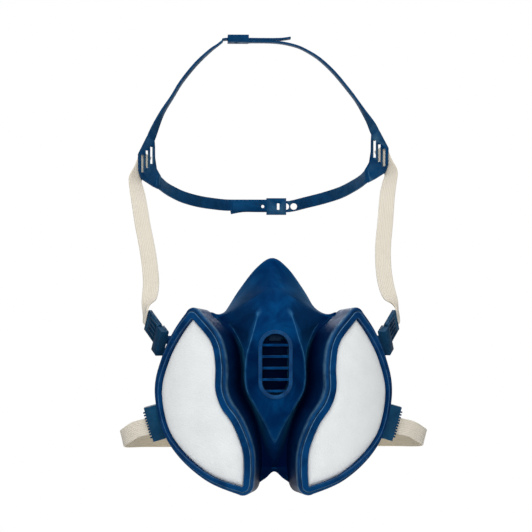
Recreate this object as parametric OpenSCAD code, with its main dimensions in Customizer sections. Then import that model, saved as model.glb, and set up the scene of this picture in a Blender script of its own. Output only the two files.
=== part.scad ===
// Half-mask respirator with two side filters, a front exhalation valve and a two-part head harness.
// Millimetres, +Z up. The mask faces -Y, +X is the viewer's right.
// The origin is the middle of the seal that meets the face.

/* [Facepiece] */
// Wall of the moulded cup
wall = 2.4; // [1.8:0.1:3.2]
// Front of the raised valve panel, ahead of the seal
panel_front = 74; // [72:0.5:77]
// Part of the seal opening that the turned-in lip leaves open
lip_open = 0.8; // [0.7:0.01:0.88]
// Thickness of the lip at its free edge
lip_t = 1.8; // [1.2:0.1:2.4]

/* [Exhalation valve] */
// Radius of the round ends of the grille's rim
grille_r = 9.9; // [9.5:0.1:11]
// Straight length between the round ends
grille_straight = 20.3; // [16:0.1:24]
// Height of the valve's middle
valve_z = 2.5; // [0:0.5:5]
// Width of the grille's rim
grille_rim = 2.1; // [1.6:0.1:2.6]
// Number of slats
slat_count = 5; // [3:1:6]
// Distance from slat to slat
slat_pitch = 6.7; // [5:0.1:7]
// Thickness of a slat
slat_t = 1.4; // [1:0.1:2]
// Thickness of the exhalation flap
flap_t = 0.8; // [0.5:0.1:1.2]
// Diameter of the bead that the exhalation flap hangs on
bead_d = 2.4; // [2:0.1:3]

/* [Filters] */
// Radius that the filter's face is wrapped on
pod_r = 67; // [64:0.5:70]
// Width of the rim around a filter
rim_w = 6.5; // [5.5:0.1:8]
// Width of the frame that holds the filter mat
frame_w = 4.1; // [3:0.1:4.6]
// Thickness of the frame
frame_t = 3.3; // [2.5:0.1:4]
// Thickness of the filter mat
mat_t = 3.4; // [2:0.1:5]
// Thickness of the carbon bed
carbon_t = 9; // [5:0.5:11]
// Wall of the housing
housing_wall = 1.6; // [1.2:0.1:2.2]

/* [Inhalation valves] */
// Radius of the neck that joins the housing to the cup
neck_r = 9.5; // [8:0.1:11]
// Radius of the inhalation flap
inlet_flap_r = 9; // [7.5:0.1:10]
// Diameter of the stem that the flap slides on
stem_d = 2.4; // [2:0.1:3]
// How far the flap lifts
inlet_lift = 1.2; // [0.6:0.1:1.6]

/* [Straps] */
// Width of the webbing
strap_w = 10; // [8:0.5:11]
// Thickness of the webbing
strap_t = 1; // [0.7:0.1:1.3]
// Diameter of the studs that the buckles turn on
stud_d = 5; // [4:0.1:6]
// Width of the upper buckle's plate
plate_w = 13.4; // [12.5:0.1:15]
// Length of the upper buckle's plate
plate_l = 15; // [13:0.5:17]

/* [Cradle] */
// Width of the crown and rear bands
band_w = 8; // [7:0.1:9]
// Thickness of the bands
band_t = 1.2; // [1:0.1:1.5]
// Diameter of the adjusting holes
hole_d = 4.6; // [3:0.1:4.7]
// Distance from hole to hole
hole_pitch = 5.5; // [5:0.1:7]
// Thickness of the ladder plates
ladder_t = 1.6; // [1.4:0.1:2.2]

/* [Hidden] */
$fn = 48;
eps = 0.01;
// Running clearance on a pin, and the gap between pieces that only lie side by side
fit = 0.06;
gap = 0.3;

rubber_navy = "#0d3260";
plastic_teal = "#113d5c";
felt_white = "#e6e9ea";
webbing_cream = "#e4dfd0";
carbon_black = "#26282b";
silicone_dark = "#10141f";

// Curves and surfaces

function limit(v, low, high) = min(max(v, low), high);
function unit(v) = v / norm(v);
function mix(a, b, t) = a + (b - a) * t;
function flip_x(p) = [-p[0], p[1], p[2]];
function degrees(rad) = rad * 180 / PI;

// A Catmull-Rom curve from b to c, with neighbours a and d
function curve4(a, b, c, d, t) =
    0.5 * (2 * b + (c - a) * t + (2 * a - 5 * b + 4 * c - d) * t * t
    + (3 * b - a - 3 * c + d) * t * t * t);

// A point at share s of an open curve through pts
function on_curve(pts, s) =
    let (m = len(pts) - 1, u = limit(s, 0, 1) * m, k = min(floor(u), m - 1))
    curve4(pts[max(k - 1, 0)], pts[k], pts[k + 1], pts[min(k + 2, m)], u - k);

// A point at share s of a half loop that starts and ends on the middle plane
function on_half(pts, s) =
    let (m = len(pts) - 1, u = limit(s, 0, 1) * m, k = min(floor(u), m - 1))
    curve4(k > 0 ? pts[k - 1] : flip_x(pts[1]), pts[k], pts[k + 1],
           k < m - 1 ? pts[k + 2] : flip_x(pts[m - 1]), u - k);

// A whole ring of n points from a half loop
function whole_ring(pts, n) = [
    for (i = [0 : n - 1])
        let (s = 2 * i / n)
        s <= 1 ? on_half(pts, s) : flip_x(on_half(pts, 2 - s))
];

function ring_mix(a, b, t) = [for (i = [0 : len(a) - 1]) mix(a[i], b[i], t)];
function ring_curve(a, b, c, d, t) =
    [for (i = [0 : len(a) - 1]) curve4(a[i], b[i], c[i], d[i], t)];
function backwards(list) = [for (i = [len(list) - 1 : -1 : 0]) list[i]];
function mean(pts) = [for (k = [0 : 2]) [for (p = pts) p[k]] * [for (p = pts) 1 / len(pts)]];

// Triangles between ring r and the next of rings with n points each
function band_faces(r, next, n) = [
    for (i = [0 : n - 1])
        let (j = (i + 1) % n)
        each [[r * n + i, r * n + j, next * n + j], [r * n + i, next * n + j, next * n + i]]
];

// A solid whose section runs once round through rings and closes on itself
module ring_solid(rings) {
    n = len(rings[0]);
    count = len(rings);
    polyhedron([for (r = rings) each r],
               [for (r = [0 : count - 1]) each band_faces(r, (r + 1) % count, n)]);
}

// A solid skinned over rings, closed by a fan at both ends
module skin_solid(rings) {
    n = len(rings[0]);
    count = len(rings);
    first = n * count;
    points = concat([for (r = rings) each r], [mean(rings[0]), mean(rings[count - 1])]);
    faces = concat(
        [for (r = [0 : count - 2]) each band_faces(r, r + 1, n)],
        [for (i = [0 : n - 1]) [first, (i + 1) % n, i]],
        [for (i = [0 : n - 1]) [first + 1, (count - 1) * n + i, (count - 1) * n + (i + 1) % n]]);
    polyhedron(points, faces);
}

// A flat ribbon: each station is a point, the way its width lies, and its width
module ribbon(stations, thick, steps) {
    count = (len(stations) - 1) * steps;
    path = [for (q = stations) q[0]];
    lies = [for (q = stations) q[1]];
    widths = [for (q = stations) [q[2], 0, 0]];
    rings = [
        for (i = [0 : count])
            let (s = i / count,
                 p = on_curve(path, s),
                 along = unit(on_curve(path, min(s + 0.002, 1)) - on_curve(path, max(s - 0.002, 0))),
                 raw = on_curve(lies, s),
                 across = unit(raw - along * (raw * along)),
                 up = cross(along, across),
                 w = on_curve(widths, s)[0] / 2,
                 h = thick / 2)
            [p + across * w - up * h, p - across * w - up * h,
             p - across * w + up * h, p + across * w + up * h]
    ];
    skin_solid(rings);
}

// Puts a shape drawn along x, y and z onto three square axes at a place
module on_axes(origin, ax, ay, az) {
    multmatrix([[ax[0], ay[0], az[0], origin[0]], [ax[1], ay[1], az[1], origin[1]],
                [ax[2], ay[2], az[2], origin[2]], [0, 0, 0, 1]])
        children();
}

// A block with a slot-shaped outline that stands along -Y: straight sides and round ends
module slot_block(r, straight, front, back) {
    translate([0, -back, valve_z])
        rotate([90, 0, 0])
            linear_extrude(front - back)
                union() {
                    square([2 * r, straight], center = true);
                    for (side = [-1, 1])
                        translate([0, side * straight / 2])
                            circle(r);
                }
}

// The surface that cup and housings meet on, drawn for +X: an upright cylinder that runs out flat

pod_cx = 12;
pod_cy = -17;
back_r = 41.4;
flare_x = 46;
flare_slope = 0.75;
// Its depth at x, moved forward by a distance
function back_y(x, off) =
    let (r = back_r + off, xi = min(x, flare_x))
    pod_cy - sqrt(r * r - pow(xi - pod_cx, 2)) + (x - xi) * flare_slope;

// Facepiece

ring_n = 90;

// Half loops from nose to chin: the seal's edge, the cheeks behind the filters, the floor of the channels,
// the crease that comes down from the shoulders, and the valve panel's edge
seal_loop = [
    [0, -30, 64.5], [9.5, -26, 58.5], [19.5, -17, 45.5], [26, -10, 35], [31, -5, 27], [36, 0, 18],
    [41.5, 4.7, 8.5], [46, 7.7, -1], [49, 8.8, -11], [49.6, 8.8, -22], [47, 7.5, -35], [40, 3, -48.5],
    [28, -4, -58.5], [16, -8.3, -62.8], [8, -10.4, -64.2], [0, -11, -64.5]
];
cheek_loop = [
    [0, -46, 52.5], [8.5, -43, 49], [18.5, -37, 40], [27, -38.5, 33], [32.5, -43, 30.3], [39, -47, 31.5],
    [48.5, -38, 24.5], [56.5, -31.9, 8], [60.4, -28.9, -8], [60.4, -28.9, -21], [55.5, -32.6, -37],
    [45.5, -40.5, -52], [30, -53.2, -64], [15.5, -57.4, -70.6], [6.2, -57.4, -66.4], [0, -56.5, -61.8]
];
channel_loop = [
    [0, -53, 46.5], [6, -52, 45.4], [13, -48, 40.5], [21.5, -47.5, 33], [30.5, -46, 28.8], [29.5, -51, 24.5],
    [25.3, -54.5, 18], [21.7, -55.8, 10], [20.2, -56.4, 1], [19.7, -56.6, -8], [17.8, -56.9, -17],
    [13.8, -57.2, -26], [9.8, -57.4, -36], [6.6, -57.5, -45.5], [3.8, -57.5, -52.5], [0, -57.5, -56.5]
];
crease_loop = [
    [0, -55, 44.5], [6, -54.2, 43.5], [12, -51.5, 39], [20, -51, 32.5], [27.3, -49.5, 27.5],
    [24, -54.5, 22.3], [21, -60.5, 16.8], [18.4, -67.5, 10.3], [17.9, -70.8, 2], [17.9, -71, -7],
    [16.6, -70.8, -14], [13, -69.7, -20.5], [8.8, -68.2, -27.5], [5, -66, -34], [2.3, -64.2, -40],
    [0, -63.2, -43.6]
];
panel_loop = [
    [0, -57, 42], [4, -56.9, 41.6], [7.6, -58.6, 38.5], [10.2, -65.4, 30], [12, -69, 24],
    [13.8, -70.2, 17.8], [15.3, -70.8, 13.2], [16.8, -71.4, 8], [17.5, -72, 1.5], [17.5, -72, -6.8],
    [16.2, -71.8, -13.6], [12.6, -70.6, -20], [8.4, -69, -27], [4.7, -66.8, -33.3], [2, -65, -39],
    [0, -64, -42.5]
];
// Between channel and cheek the cup lies against the housings' backs, from the shoulder down
shoulder = 5;
bed_loop = [
    for (i = [0 : len(cheek_loop) - 1])
        let (m = mix(channel_loop[i], cheek_loop[i], 0.5))
        i < shoulder ? m : [m[0], back_y(m[0], -1), m[2]]
];

tunnel_r = grille_r - 0.9;
tunnel_back = 53;

// A ring round the valve's slot, radius r, at depth y, from its top round by the right
function valve_ring(r, y) =
    let (arc = PI * r / 2, half = 2 * arc + grille_straight)
    [
        for (i = [0 : ring_n - 1])
            let (s = 2 * i / ring_n,
                 d = (s <= 1 ? s : 2 - s) * half,
                 turn = d < arc ? degrees(d / r) : d > arc + grille_straight
                     ? degrees((d - grille_straight) / r) : 90,
                 z = d < arc ? grille_straight / 2 : d > arc + grille_straight
                     ? -grille_straight / 2 : grille_straight / 2 - (d - arc))
            [(s <= 1 ? 1 : -1) * r * sin(turn), -y, valve_z + z + r * cos(turn)]
    ];

// The seal's ring drawn in about the middle by a share, and moved back
function seal_ring(share, back) =
    [for (p = whole_ring(seal_loop, ring_n)) [p[0] * share, p[1] + back, p[2] * share]];

seal = whole_ring(seal_loop, ring_n);
cheek = whole_ring(cheek_loop, ring_n);
bed = whole_ring(bed_loop, ring_n);
channel = whole_ring(channel_loop, ring_n);
crease = whole_ring(crease_loop, ring_n);
panel = whole_ring(panel_loop, ring_n);
beyond = ring_mix(cheek, seal, 1.6);
// Beside and below the nose no ring of the cup stands ahead of the housings' backs
function laid(ring) = [
    for (p = ring)
        let (x = abs(p[0]))
        x > 7 && (x > pod_cx || p[2] < 0) ? [p[0], max(p[1], back_y(x, -0.6)), p[2]] : p
];
cup_rings = [
    laid(channel), laid(ring_curve(crease, channel, bed, cheek, 0.5)), laid(bed),
    laid(ring_curve(channel, bed, cheek, seal, 0.5)), laid(cheek),
    for (t = [0.25, 0.5, 0.75]) ring_curve(bed, cheek, seal, beyond, t),
    seal
];

// The ring under ring r of the cup, one wall inside it
function inner_ring(r) =
    let (before = cup_rings[max(r - 1, 0)], here = cup_rings[r], after = cup_rings[r + 1])
    [
        for (i = [0 : ring_n - 1])
            let (round = here[(i + 1) % ring_n] - here[(i + ring_n - 1) % ring_n],
                 along = after[i] - before[i])
            here[i] - wall * unit(cross(round, along))
    ];

module facepiece_cup() {
    rings = concat(
        [valve_ring(tunnel_r, panel_front)],
        [ring_mix(valve_ring(tunnel_r, panel_front), panel, 0.5)],
        [panel],
        [crease],
        [for (t = [0.3, 0.65]) ring_curve(panel, crease, channel, bed, t)],
        cup_rings,
        [seal_ring(0.985, 1.2), seal_ring(0.93, 0.6), seal_ring(lip_open, -3)],
        [seal_ring(lip_open, -3 - lip_t), seal_ring(0.925, -3.2)],
        [for (r = [6, 5, 4, 3, 2, 1, 0]) inner_ring(r)],
        [valve_ring(tunnel_r, tunnel_back)]);
    ring_solid(backwards(rings));
}

module facepiece() {
    color(rubber_navy)
        difference() {
            facepiece_cup();
            for (side = [-1, 1])
                at_port(side)
                    cylinder(h = 40, r = neck_r + fit, center = true);
        }
}

// Exhalation valve

seat_front = 66;
seat_r = tunnel_r - 0.1;
seat_open_r = seat_r - 2.4;
grille_in_r = grille_r - grille_rim;
slat_back = 71.8;
slat_front = 73.4;
flap_r = grille_in_r - 0.6;
bead_z = valve_z + grille_straight / 2 + 4.4;
bead_y = seat_front + 0.1 + bead_d / 2;
seat_cover = 1.4;

module exhalation_seat() {
    color(plastic_teal)
        union() {
            difference() {
                union() {
                    slot_block(seat_r, grille_straight, seat_front, tunnel_back - 3);
                    slot_block(seat_r + 2.4, grille_straight, tunnel_back - 1.4, tunnel_back - 3);
                }
                // Above the flap's bead the seat stays closed
                difference() {
                    slot_block(seat_open_r, grille_straight, seat_front + 1, tunnel_back - 5);
                    translate([-seat_r, -panel_front, bead_z - seat_cover])
                        cube([2 * seat_r, panel_front, 2 * seat_r]);
                }
            }
            for (z = [-1, 0, 1])
                translate([-seat_r + 1, -seat_front + 1.2, valve_z + z * grille_straight / 2 - 0.8])
                    cube([2 * seat_r - 2, 4, 1.6]);
            translate([-0.8, -seat_front + 1.2, valve_z - grille_straight / 2 - seat_open_r - 0.5])
                cube([1.6, 4, grille_straight + 2 * seat_open_r + 1]);
        }
}

module exhalation_flap() {
    color(silicone_dark)
        union() {
            difference() {
                slot_block(flap_r, grille_straight, seat_front + 0.1 + flap_t, seat_front + 0.1);
                translate([-20, -seat_front - 5, bead_z])
                    cube([40, 10, 20]);
            }
            translate([0, -bead_y, bead_z])
                rotate([0, 90, 0])
                    cylinder(h = flap_r, d = bead_d, center = true);
        }
}

module exhalation_grille() {
    first = valve_z + slat_pitch * (slat_count - 1) / 2 - 2.2;
    shelf_w = flap_r - 0.4;
    shelf_front = bead_y + bead_d / 2 + 1;
    color(rubber_navy)
        difference() {
            union() {
                difference() {
                    union() {
                        slot_block(grille_r, grille_straight, panel_front + 1.2, panel_front);
                        slot_block(tunnel_r - 0.1, grille_straight, panel_front + eps, seat_front);
                    }
                    slot_block(grille_in_r, grille_straight, panel_front + 3, seat_front - 1);
                }
                intersection() {
                    slot_block(grille_in_r + 0.5, grille_straight, slat_front, slat_back);
                    union()
                        for (k = [0 : slat_count - 1])
                            translate([-20, -slat_front - 1, first - k * slat_pitch - slat_t / 2])
                                cube([40, 10, slat_t]);
                }
                // Shelf that holds the flap's bead against the seat
                intersection() {
                    slot_block(grille_in_r + 0.5, grille_straight, shelf_front, seat_front + 0.2);
                    union() {
                        translate([-shelf_w / 2, -shelf_front, bead_z])
                            cube([shelf_w, 10, 20]);
                        translate([-shelf_w / 2, -shelf_front, bead_z - 0.9])
                            cube([shelf_w, shelf_front - bead_y - 0.3, 20]);
                    }
                }
            }
            translate([0, -bead_y, bead_z])
                rotate([0, 90, 0])
                    cylinder(h = flap_r + 1, d = bead_d + 2 * fit, center = true);
        }
}

// Filters, one on each side, drawn for +X. A flat leaf pattern is wrapped on an upright cylinder.

edge = 0.8;
lay_gap = 0.1;

// The leaf in the flat: distance round the cylinder, and height, just inside the filter's visible edge
leaf_outer = [[38.4, 28.2], [48.2, 17.5], [58.4, 3.3], [65.5, -14.3], [59.6, -34.2], [46.4, -48],
              [26.4, -61], [7.8, -67.4]];
leaf_inner = [[7.8, -67.4], [7.3, -57.5], [8.2, -46.3], [13.6, -32.4], [20.8, -21.9], [24.2, -11.5],
              [24.2, 2.3], [27, 15.6], [38.4, 28.2]];
// Share of the rim's width at those points: the rim is narrower on its outer and lower side
outer_share = [0.85, 0.83, 0.76, 0.79, 0.48, 0.57, 0.67, 0.78];
inner_share = [0.95, 1, 1, 1, 1, 1, 1, 0.95, 0.95];
leaf_middle = [40, -20];
side_n = 22;
tip_n = 4;

function tangent(pts, s) = unit(on_curve(pts, min(s + 0.01, 1)) - on_curve(pts, max(s - 0.01, 0)));
function outward(pts, s) = let (t = tangent(pts, s)) [-t[1], t[0]];

// Round a tip of the leaf the outward way turns from one side's to the next
function tip(p, from, to, share) = [
    for (k = [1 : tip_n])
        [p, unit(mix(from, to, k / (tip_n + 1))), share]
];
function leaf_side(pts, shares) = [
    for (i = [0 : side_n])
        let (s = i / side_n)
        [on_curve(pts, s), outward(pts, s), on_curve(shares, s)]
];

// The leaf as a point, its outward way and the rim's share there
leaf = concat(
    leaf_side(leaf_outer, outer_share),
    tip(leaf_outer[len(leaf_outer) - 1], outward(leaf_outer, 1), outward(leaf_inner, 0), 0.88),
    leaf_side(leaf_inner, inner_share),
    tip(leaf_inner[len(leaf_inner) - 1], outward(leaf_inner, 1), outward(leaf_outer, 0), 1));

// Upper and lower ends of the filter's face curve back
function bulge(z) = 6 * pow((z + 20) / 50, 2);

// A point of the flat pattern, wrapped, at height h above the filter's face
function wrap(a, z, h) =
    [pod_cx + (pod_r + h) * sin(degrees(a / pod_r)),
     pod_cy - (pod_r + h) * cos(degrees(a / pod_r)) + bulge(z), z];
// A point of the leaf grown: past the filter's edge the rim's share counts
function grown(q, grow) = q[0] + (min(grow, edge) + max(grow - edge, 0) * q[2]) * q[1];
function leaf_ring(grow, h) =
    [for (q = leaf) let (p = grown(q, grow)) wrap(p[0], p[1], h)];
// The leaf grown, then shrunk about its middle by a share
function leaf_inset(grow, share, h) =
    [for (q = leaf) let (p = mix(leaf_middle, grown(q, grow), share)) wrap(p[0], p[1], h)];

function lean(x) = 0.15 + 0.23 * limit((x - 8) / 18, 0, 1);
// Goes back from p on the slanted wall until the back surface
function drop(p, off, tries = 8, d = 20) =
    tries == 0 ? [p[0] - lean(p[0]) * d, p[1] + d, p[2]]
    : drop(p, off, tries - 1, back_y(p[0] - lean(p[0]) * d, off) - p[1]);
function back_ring(ring, off) = [for (p = ring) drop(p, off)];
// A bed's underside: its own thickness below its top, but clear of the tray's floor and of the port's collar
function bed_under(ring) = [
    for (p = ring)
        let (d = min(carbon_t, drop(p, housing_wall + collar_h + 2 * gap)[1] - p[1]))
        [p[0] - lean(p[0]) * d, p[1] + d, p[2]]
];

// Inhalation port: an axis square to the back surface
port_turn = 45;
port_z = -14;
port_r = neck_r + 1.4;
// How far the port's collar stands above the tray's floor
collar_h = 1;

module at_port(side) {
    mirror([side < 0 ? 1 : 0, 0, 0])
        translate([pod_cx + back_r * sin(port_turn), pod_cy - back_r * cos(port_turn), port_z])
            rotate([0, 0, port_turn])
                rotate([90, 0, 0])
                    children();
}

// A ring on the back surface, between the port and a ring of the outline, at a share
function port_ring(ring, share, off) = [
    for (p = ring)
        let (c = [pod_cx + (back_r + off) * sin(port_turn), port_z],
             way = unit([p[0] - c[0], p[2] - c[1]]),
             hole = [c[0] + way[0] * port_r * cos(port_turn), c[1] + way[1] * port_r],
             q = mix(hole, [p[0], p[2]], share))
        [q[0], back_y(q[0], off), q[1]]
];

module on_side(side) {
    mirror([side < 0 ? 1 : 0, 0, 0])
        children();
}

rim_in = edge + frame_w + lay_gap;
rim_out = edge + rim_w;
frame_low = 0.9 - frame_t;
inner_grow = edge + 1.4;

module filter_housing(side) {
    outer_back = back_ring(leaf_ring(rim_out, 0), 0);
    shelf = leaf_ring(inner_grow, frame_low - lay_gap);
    inner_back = back_ring(shelf, housing_wall);
    color(rubber_navy)
        on_side(side)
            ring_solid(concat(
                [outer_back],
                [leaf_ring(rim_out, -1.2), leaf_ring(rim_out - 0.4, -0.3), leaf_ring(rim_out - 1.1, 0)],
                [leaf_ring(rim_in, 0), leaf_ring(rim_in, frame_low - lay_gap), shelf, inner_back],
                [for (t = [0.75, 0.5, 0.25, 0]) port_ring(inner_back, t, housing_wall)],
                [for (t = [0, 0.25, 0.5, 0.75]) port_ring(outer_back, t, 0)]));
}

module filter_frame(side) {
    section = [[edge, frame_low], [edge + frame_w, frame_low], [edge + frame_w, 0.4],
               [edge + frame_w - 0.5, 0.9], [edge + 0.5, 0.9], [edge, 0.5]];
    color(rubber_navy)
        on_side(side)
            ring_solid([for (q = section) leaf_ring(q[0], q[1])]);
}

mat_low = frame_low - lay_gap - mat_t;
mat_grow = inner_grow - 2 * gap;

module prefilter(side) {
    color(felt_white)
        on_side(side)
            skin_solid([
                leaf_inset(mat_grow, 0.35, mat_low), leaf_inset(mat_grow, 0.7, mat_low),
                leaf_ring(mat_grow, mat_low), leaf_ring(mat_grow, frame_low - lay_gap),
                leaf_ring(edge - 0.3, frame_low - lay_gap), leaf_ring(edge - 0.5, -1.7),
                leaf_inset(edge, 0.9, -0.9), leaf_inset(edge, 0.65, -0.5), leaf_inset(edge, 0.35, -0.4)]);
}

module carbon_bed(side) {
    top = mat_low - 2 * gap;
    grow = edge - gap;
    rim = leaf_ring(grow, top);
    color(carbon_black)
        on_side(side)
            skin_solid([
                bed_under(leaf_inset(grow, 0.35, top)), bed_under(leaf_inset(grow, 0.7, top)),
                bed_under(rim), rim, leaf_inset(grow, 0.7, top), leaf_inset(grow, 0.35, top)]);
}

// Inhalation valves: along the port's axis, +Z towards the filter

inlet_face = -8.8;
flange_t = 1.6;

module inhalation_seat(side) {
    head_t = 0.8;
    stem_l = inlet_lift + 0.8 + lay_gap + head_t;
    color(plastic_teal)
        at_port(side)
            union() {
                difference() {
                    union() {
                        translate([0, 0, inlet_face])
                            cylinder(h = housing_wall - inlet_face + collar_h, r = neck_r);
                        translate([0, 0, inlet_face])
                            cylinder(h = flange_t, r = neck_r + 1);
                    }
                    translate([0, 0, inlet_face - 1])
                        cylinder(h = 40, r = neck_r - 1.5);
                }
                for (turn = [0, 60, 120])
                    rotate([0, 0, turn])
                        translate([-neck_r + 0.8, -0.6, inlet_face + 0.2])
                            cube([2 * neck_r - 1.6, 1.2, 1]);
                translate([0, 0, inlet_face - stem_l + head_t / 2])
                    cylinder(h = stem_l, d = stem_d);
                translate([0, 0, inlet_face - stem_l])
                    cylinder(h = head_t, d = stem_d + 2);
            }
}

module inhalation_flap(side) {
    color(silicone_dark)
        at_port(side)
            translate([0, 0, inlet_face - lay_gap - 0.7])
                difference() {
                    cylinder(h = 0.7, r = inlet_flap_r);
                    translate([0, 0, -1])
                        cylinder(h = 3, d = stem_d + 2 * fit);
                }
}

// Buckles and their studs, drawn for +X

// Where the heads of the studs begin, on the axes that the buckles turn on
upper_axis = [67.6, -40, 15.5];
lower_axis = [67.6, -38, -34.5];
head_t = 1.2;
stud_head_d = stud_d + 1.6;
// The studs' roots go with the housing's outer wall
upper_stud_root = wrap(leaf_outer[1][0], 0, 0)[0] - 1.5;
lower_stud_root = wrap(leaf_outer[4][0], 0, 0)[0] - 6.5;

module stud(axis, root_x) {
    color(rubber_navy)
        translate([root_x, axis[1], axis[2]])
            rotate([0, 90, 0])
                union() {
                    cylinder(h = axis[0] - root_x + head_t / 2, d = stud_d);
                    translate([0, 0, axis[0] - root_x])
                        cylinder(h = head_t, d = stud_head_d);
                }
}

// The bore in a buckle and the room in it for the stud's head
module stud_room(axis) {
    bore_l = 25;
    translate([axis[0] - bore_l, axis[1], axis[2]])
        rotate([0, 90, 0])
            cylinder(h = bore_l + head_t / 2, d = stud_d + 2 * fit);
    translate([axis[0] - gap, axis[1], axis[2]])
        rotate([0, 90, 0])
            cylinder(h = head_t + 2 * gap, d = stud_head_d + 2 * gap);
}

module upper_stud(side) {
    on_side(side)
        stud(upper_axis, upper_stud_root);
}

module lower_stud(side) {
    on_side(side)
        stud(lower_axis, lower_stud_root);
}

// The upper plate runs back, out and up from its block, and both lie in one plane
plate_root = [69.6, -40, 20];
plate_along = unit([6.65, 14, 8.5]);
plate_across = unit([0.217, 0.43, -0.877] - plate_along * ([0.217, 0.43, -0.877] * plate_along));
plate_face = cross(plate_along, plate_across);
plate_t = 2.2;
slot_l = strap_w + 1.4;
slot_w = strap_t + 1.4;
bar_w = 2;
// The upper block: how far it lies in from the plate's root, above and below its middle, and proud of it
block_near = 1.4;
block_far = 8.9;
block_above = 5.5;
block_below = 11;
block_proud = 0.7;
block_t = 5.0;

module upper_buckle(side) {
    ribs = 5;
    rib_face = -plate_t / 2 - 0.6;
    rib_pitch = plate_w / ribs;
    color(plastic_teal)
        on_side(side)
            difference() {
                on_axes(plate_root, plate_along, plate_across, plate_face)
                    difference() {
                        union() {
                            translate([-block_far, -block_above, -plate_t / 2 - block_proud])
                                cube([block_far - block_near, block_above + block_below, block_t]);
                            translate([-block_near - 1, -plate_w / 2, -plate_t / 2])
                                cube([plate_l + block_near + 1, plate_w, plate_t]);
                            for (k = [0 : ribs - 1])
                                translate([-block_near - 1, (k - (ribs - 1) / 2) * rib_pitch - 0.5, rib_face])
                                    cube([plate_l + block_near - bar_w - slot_w, 1, plate_t]);
                        }
                        translate([plate_l - bar_w - slot_w, -slot_l / 2, -plate_t])
                            cube([slot_w, slot_l, 2 * plate_t]);
                    }
                stud_room(upper_axis);
            }
}

// The lower buckle is a block whose outer side takes the neck strap in a jaw behind a row of teeth
lower_tilt = 16;
lower_middle = [71.5, -38, -34.5];
lower_w = 6.2;
lower_d = 9;
lower_l = 21;
lower_reach = 3.4;
jaw_back = 2.2;
jaw_low = 1;
jaw_l = 3.6;
jaw_t = strap_t + 2 * gap;
jaw_w = strap_w + 2 * gap;
lower_out = [cos(lower_tilt), 0, -sin(lower_tilt)];
lower_up = [sin(lower_tilt), 0, cos(lower_tilt)];

module lower_buckle(side) {
    teeth = 10;
    color(plastic_teal)
        on_side(side)
            difference() {
                on_axes(lower_middle, lower_out, [0, 1, 0], lower_up)
                    difference() {
                        union() {
                            translate([-lower_w / 2 - lower_reach, -lower_d / 2, -lower_l / 2])
                                cube([lower_w + lower_reach, lower_d, lower_l]);
                            for (k = [0 : teeth - 1])
                                translate([lower_w / 2 - 0.5, -lower_d / 2 + 0.4,
                                           (k - (teeth - 0.5) / 2) * (lower_l - 4) / teeth])
                                    cube([1.6, 3.4, 0.9]);
                        }
                        translate([lower_w / 2 - jaw_l, jaw_back - jaw_t / 2, -jaw_low - jaw_w / 2])
                            cube([jaw_l + 1, jaw_t, jaw_w]);
                    }
                stud_room(lower_axis);
            }
}

// Cradle: each half is a ladder plate with a crown band and a rear band

ladder_turn = 50;
ladder_front = [83.8, 66.8];
ladder_z = 127;
// The right half hangs a little further in and higher than the left one
right_shift = [-3.3, 0, 4.4];
crown_y = 85;
crown_z = 211;
rear_y = 165;
rear_z = 102;
band_lay = band_t + 0.4;
// How far the rear arm lies above the tongue behind it
arm_rise = 0.9;
bar_pitch = 3.8;
bar_rise = 3;
ladder_slot = [2.9, strap_w + 1.6];

// The plate's outline in its own plane: distance back from its front edge, and height
ladder_outline = [[0, 133.2], [7.3, 145], [13, 142.2], [13.3, 138.6], [13.4, 131.3], [14.8, 124],
                  [18.4, 119.1], [16.3, 110.7], [11, 112.8], [2.4, 117], [0.2, 122]];

module ladder_plate() {
    translate([ladder_front[0], ladder_front[1], 0])
        rotate([0, 0, ladder_turn])
            rotate([90, 0, 90])
                linear_extrude(ladder_t, center = true)
                    difference() {
                        polygon(ladder_outline);
                        for (k = [0 : 2])
                            translate([1.65 + k * bar_pitch, ladder_z - ladder_slot[1] / 2 + k * bar_rise])
                                square(ladder_slot);
                    }
}

// A place beside the ladder plate: distance back from its front edge, outside its middle plane, and height
function at_ladder(back, out, z) =
    [ladder_front[0] - back * sin(ladder_turn) + out * cos(ladder_turn),
     ladder_front[1] + back * cos(ladder_turn) + out * sin(ladder_turn), z];

across_y = [0, 1, 0];
across_z = [0, 0, 1];
across_plate = [-sin(ladder_turn), cos(ladder_turn), 0];
// Between the plate and the crown the bands lean, so that their inner sides face a little forward
left_lean = [-0.13, 1, -0.06];
right_lean = [-0.06, 1, -0.03];

// Crown and rear bands run in from the plate, then across the middle, straight where the keepers slide
crown_tongue = [
    [at_ladder(8.2, 0, 139.6), across_plate, 6.3], [at_ladder(10.15, 0, 143.6), across_plate, 6.3],
    [at_ladder(15, 0, 153), mix(across_plate, left_lean, 0.5), 7.4],
    [[68, 78.3, 162.2], mix(across_plate, left_lean, 0.85), band_w], [[61.9, 80, 171.9], left_lean, band_w],
    [[55.8, 81, 182], left_lean, band_w], [[46.3, 82.5, 194], left_lean, band_w],
    [[37, 84, 203], mix(left_lean, across_y, 0.4), band_w], [[31.8, crown_y, 207], across_y, band_w],
    [[28.6, crown_y, crown_z - 1.4], across_y, band_w], [[26.2, crown_y, crown_z], across_y, band_w],
    [[5, crown_y, crown_z], across_y, band_w], [[-6.5, crown_y, crown_z], across_y, band_w],
    [[-12, crown_y, crown_z + 0.3], across_y, band_w], [[-17, crown_y, crown_z + 1], across_y, band_w]
];
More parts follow.
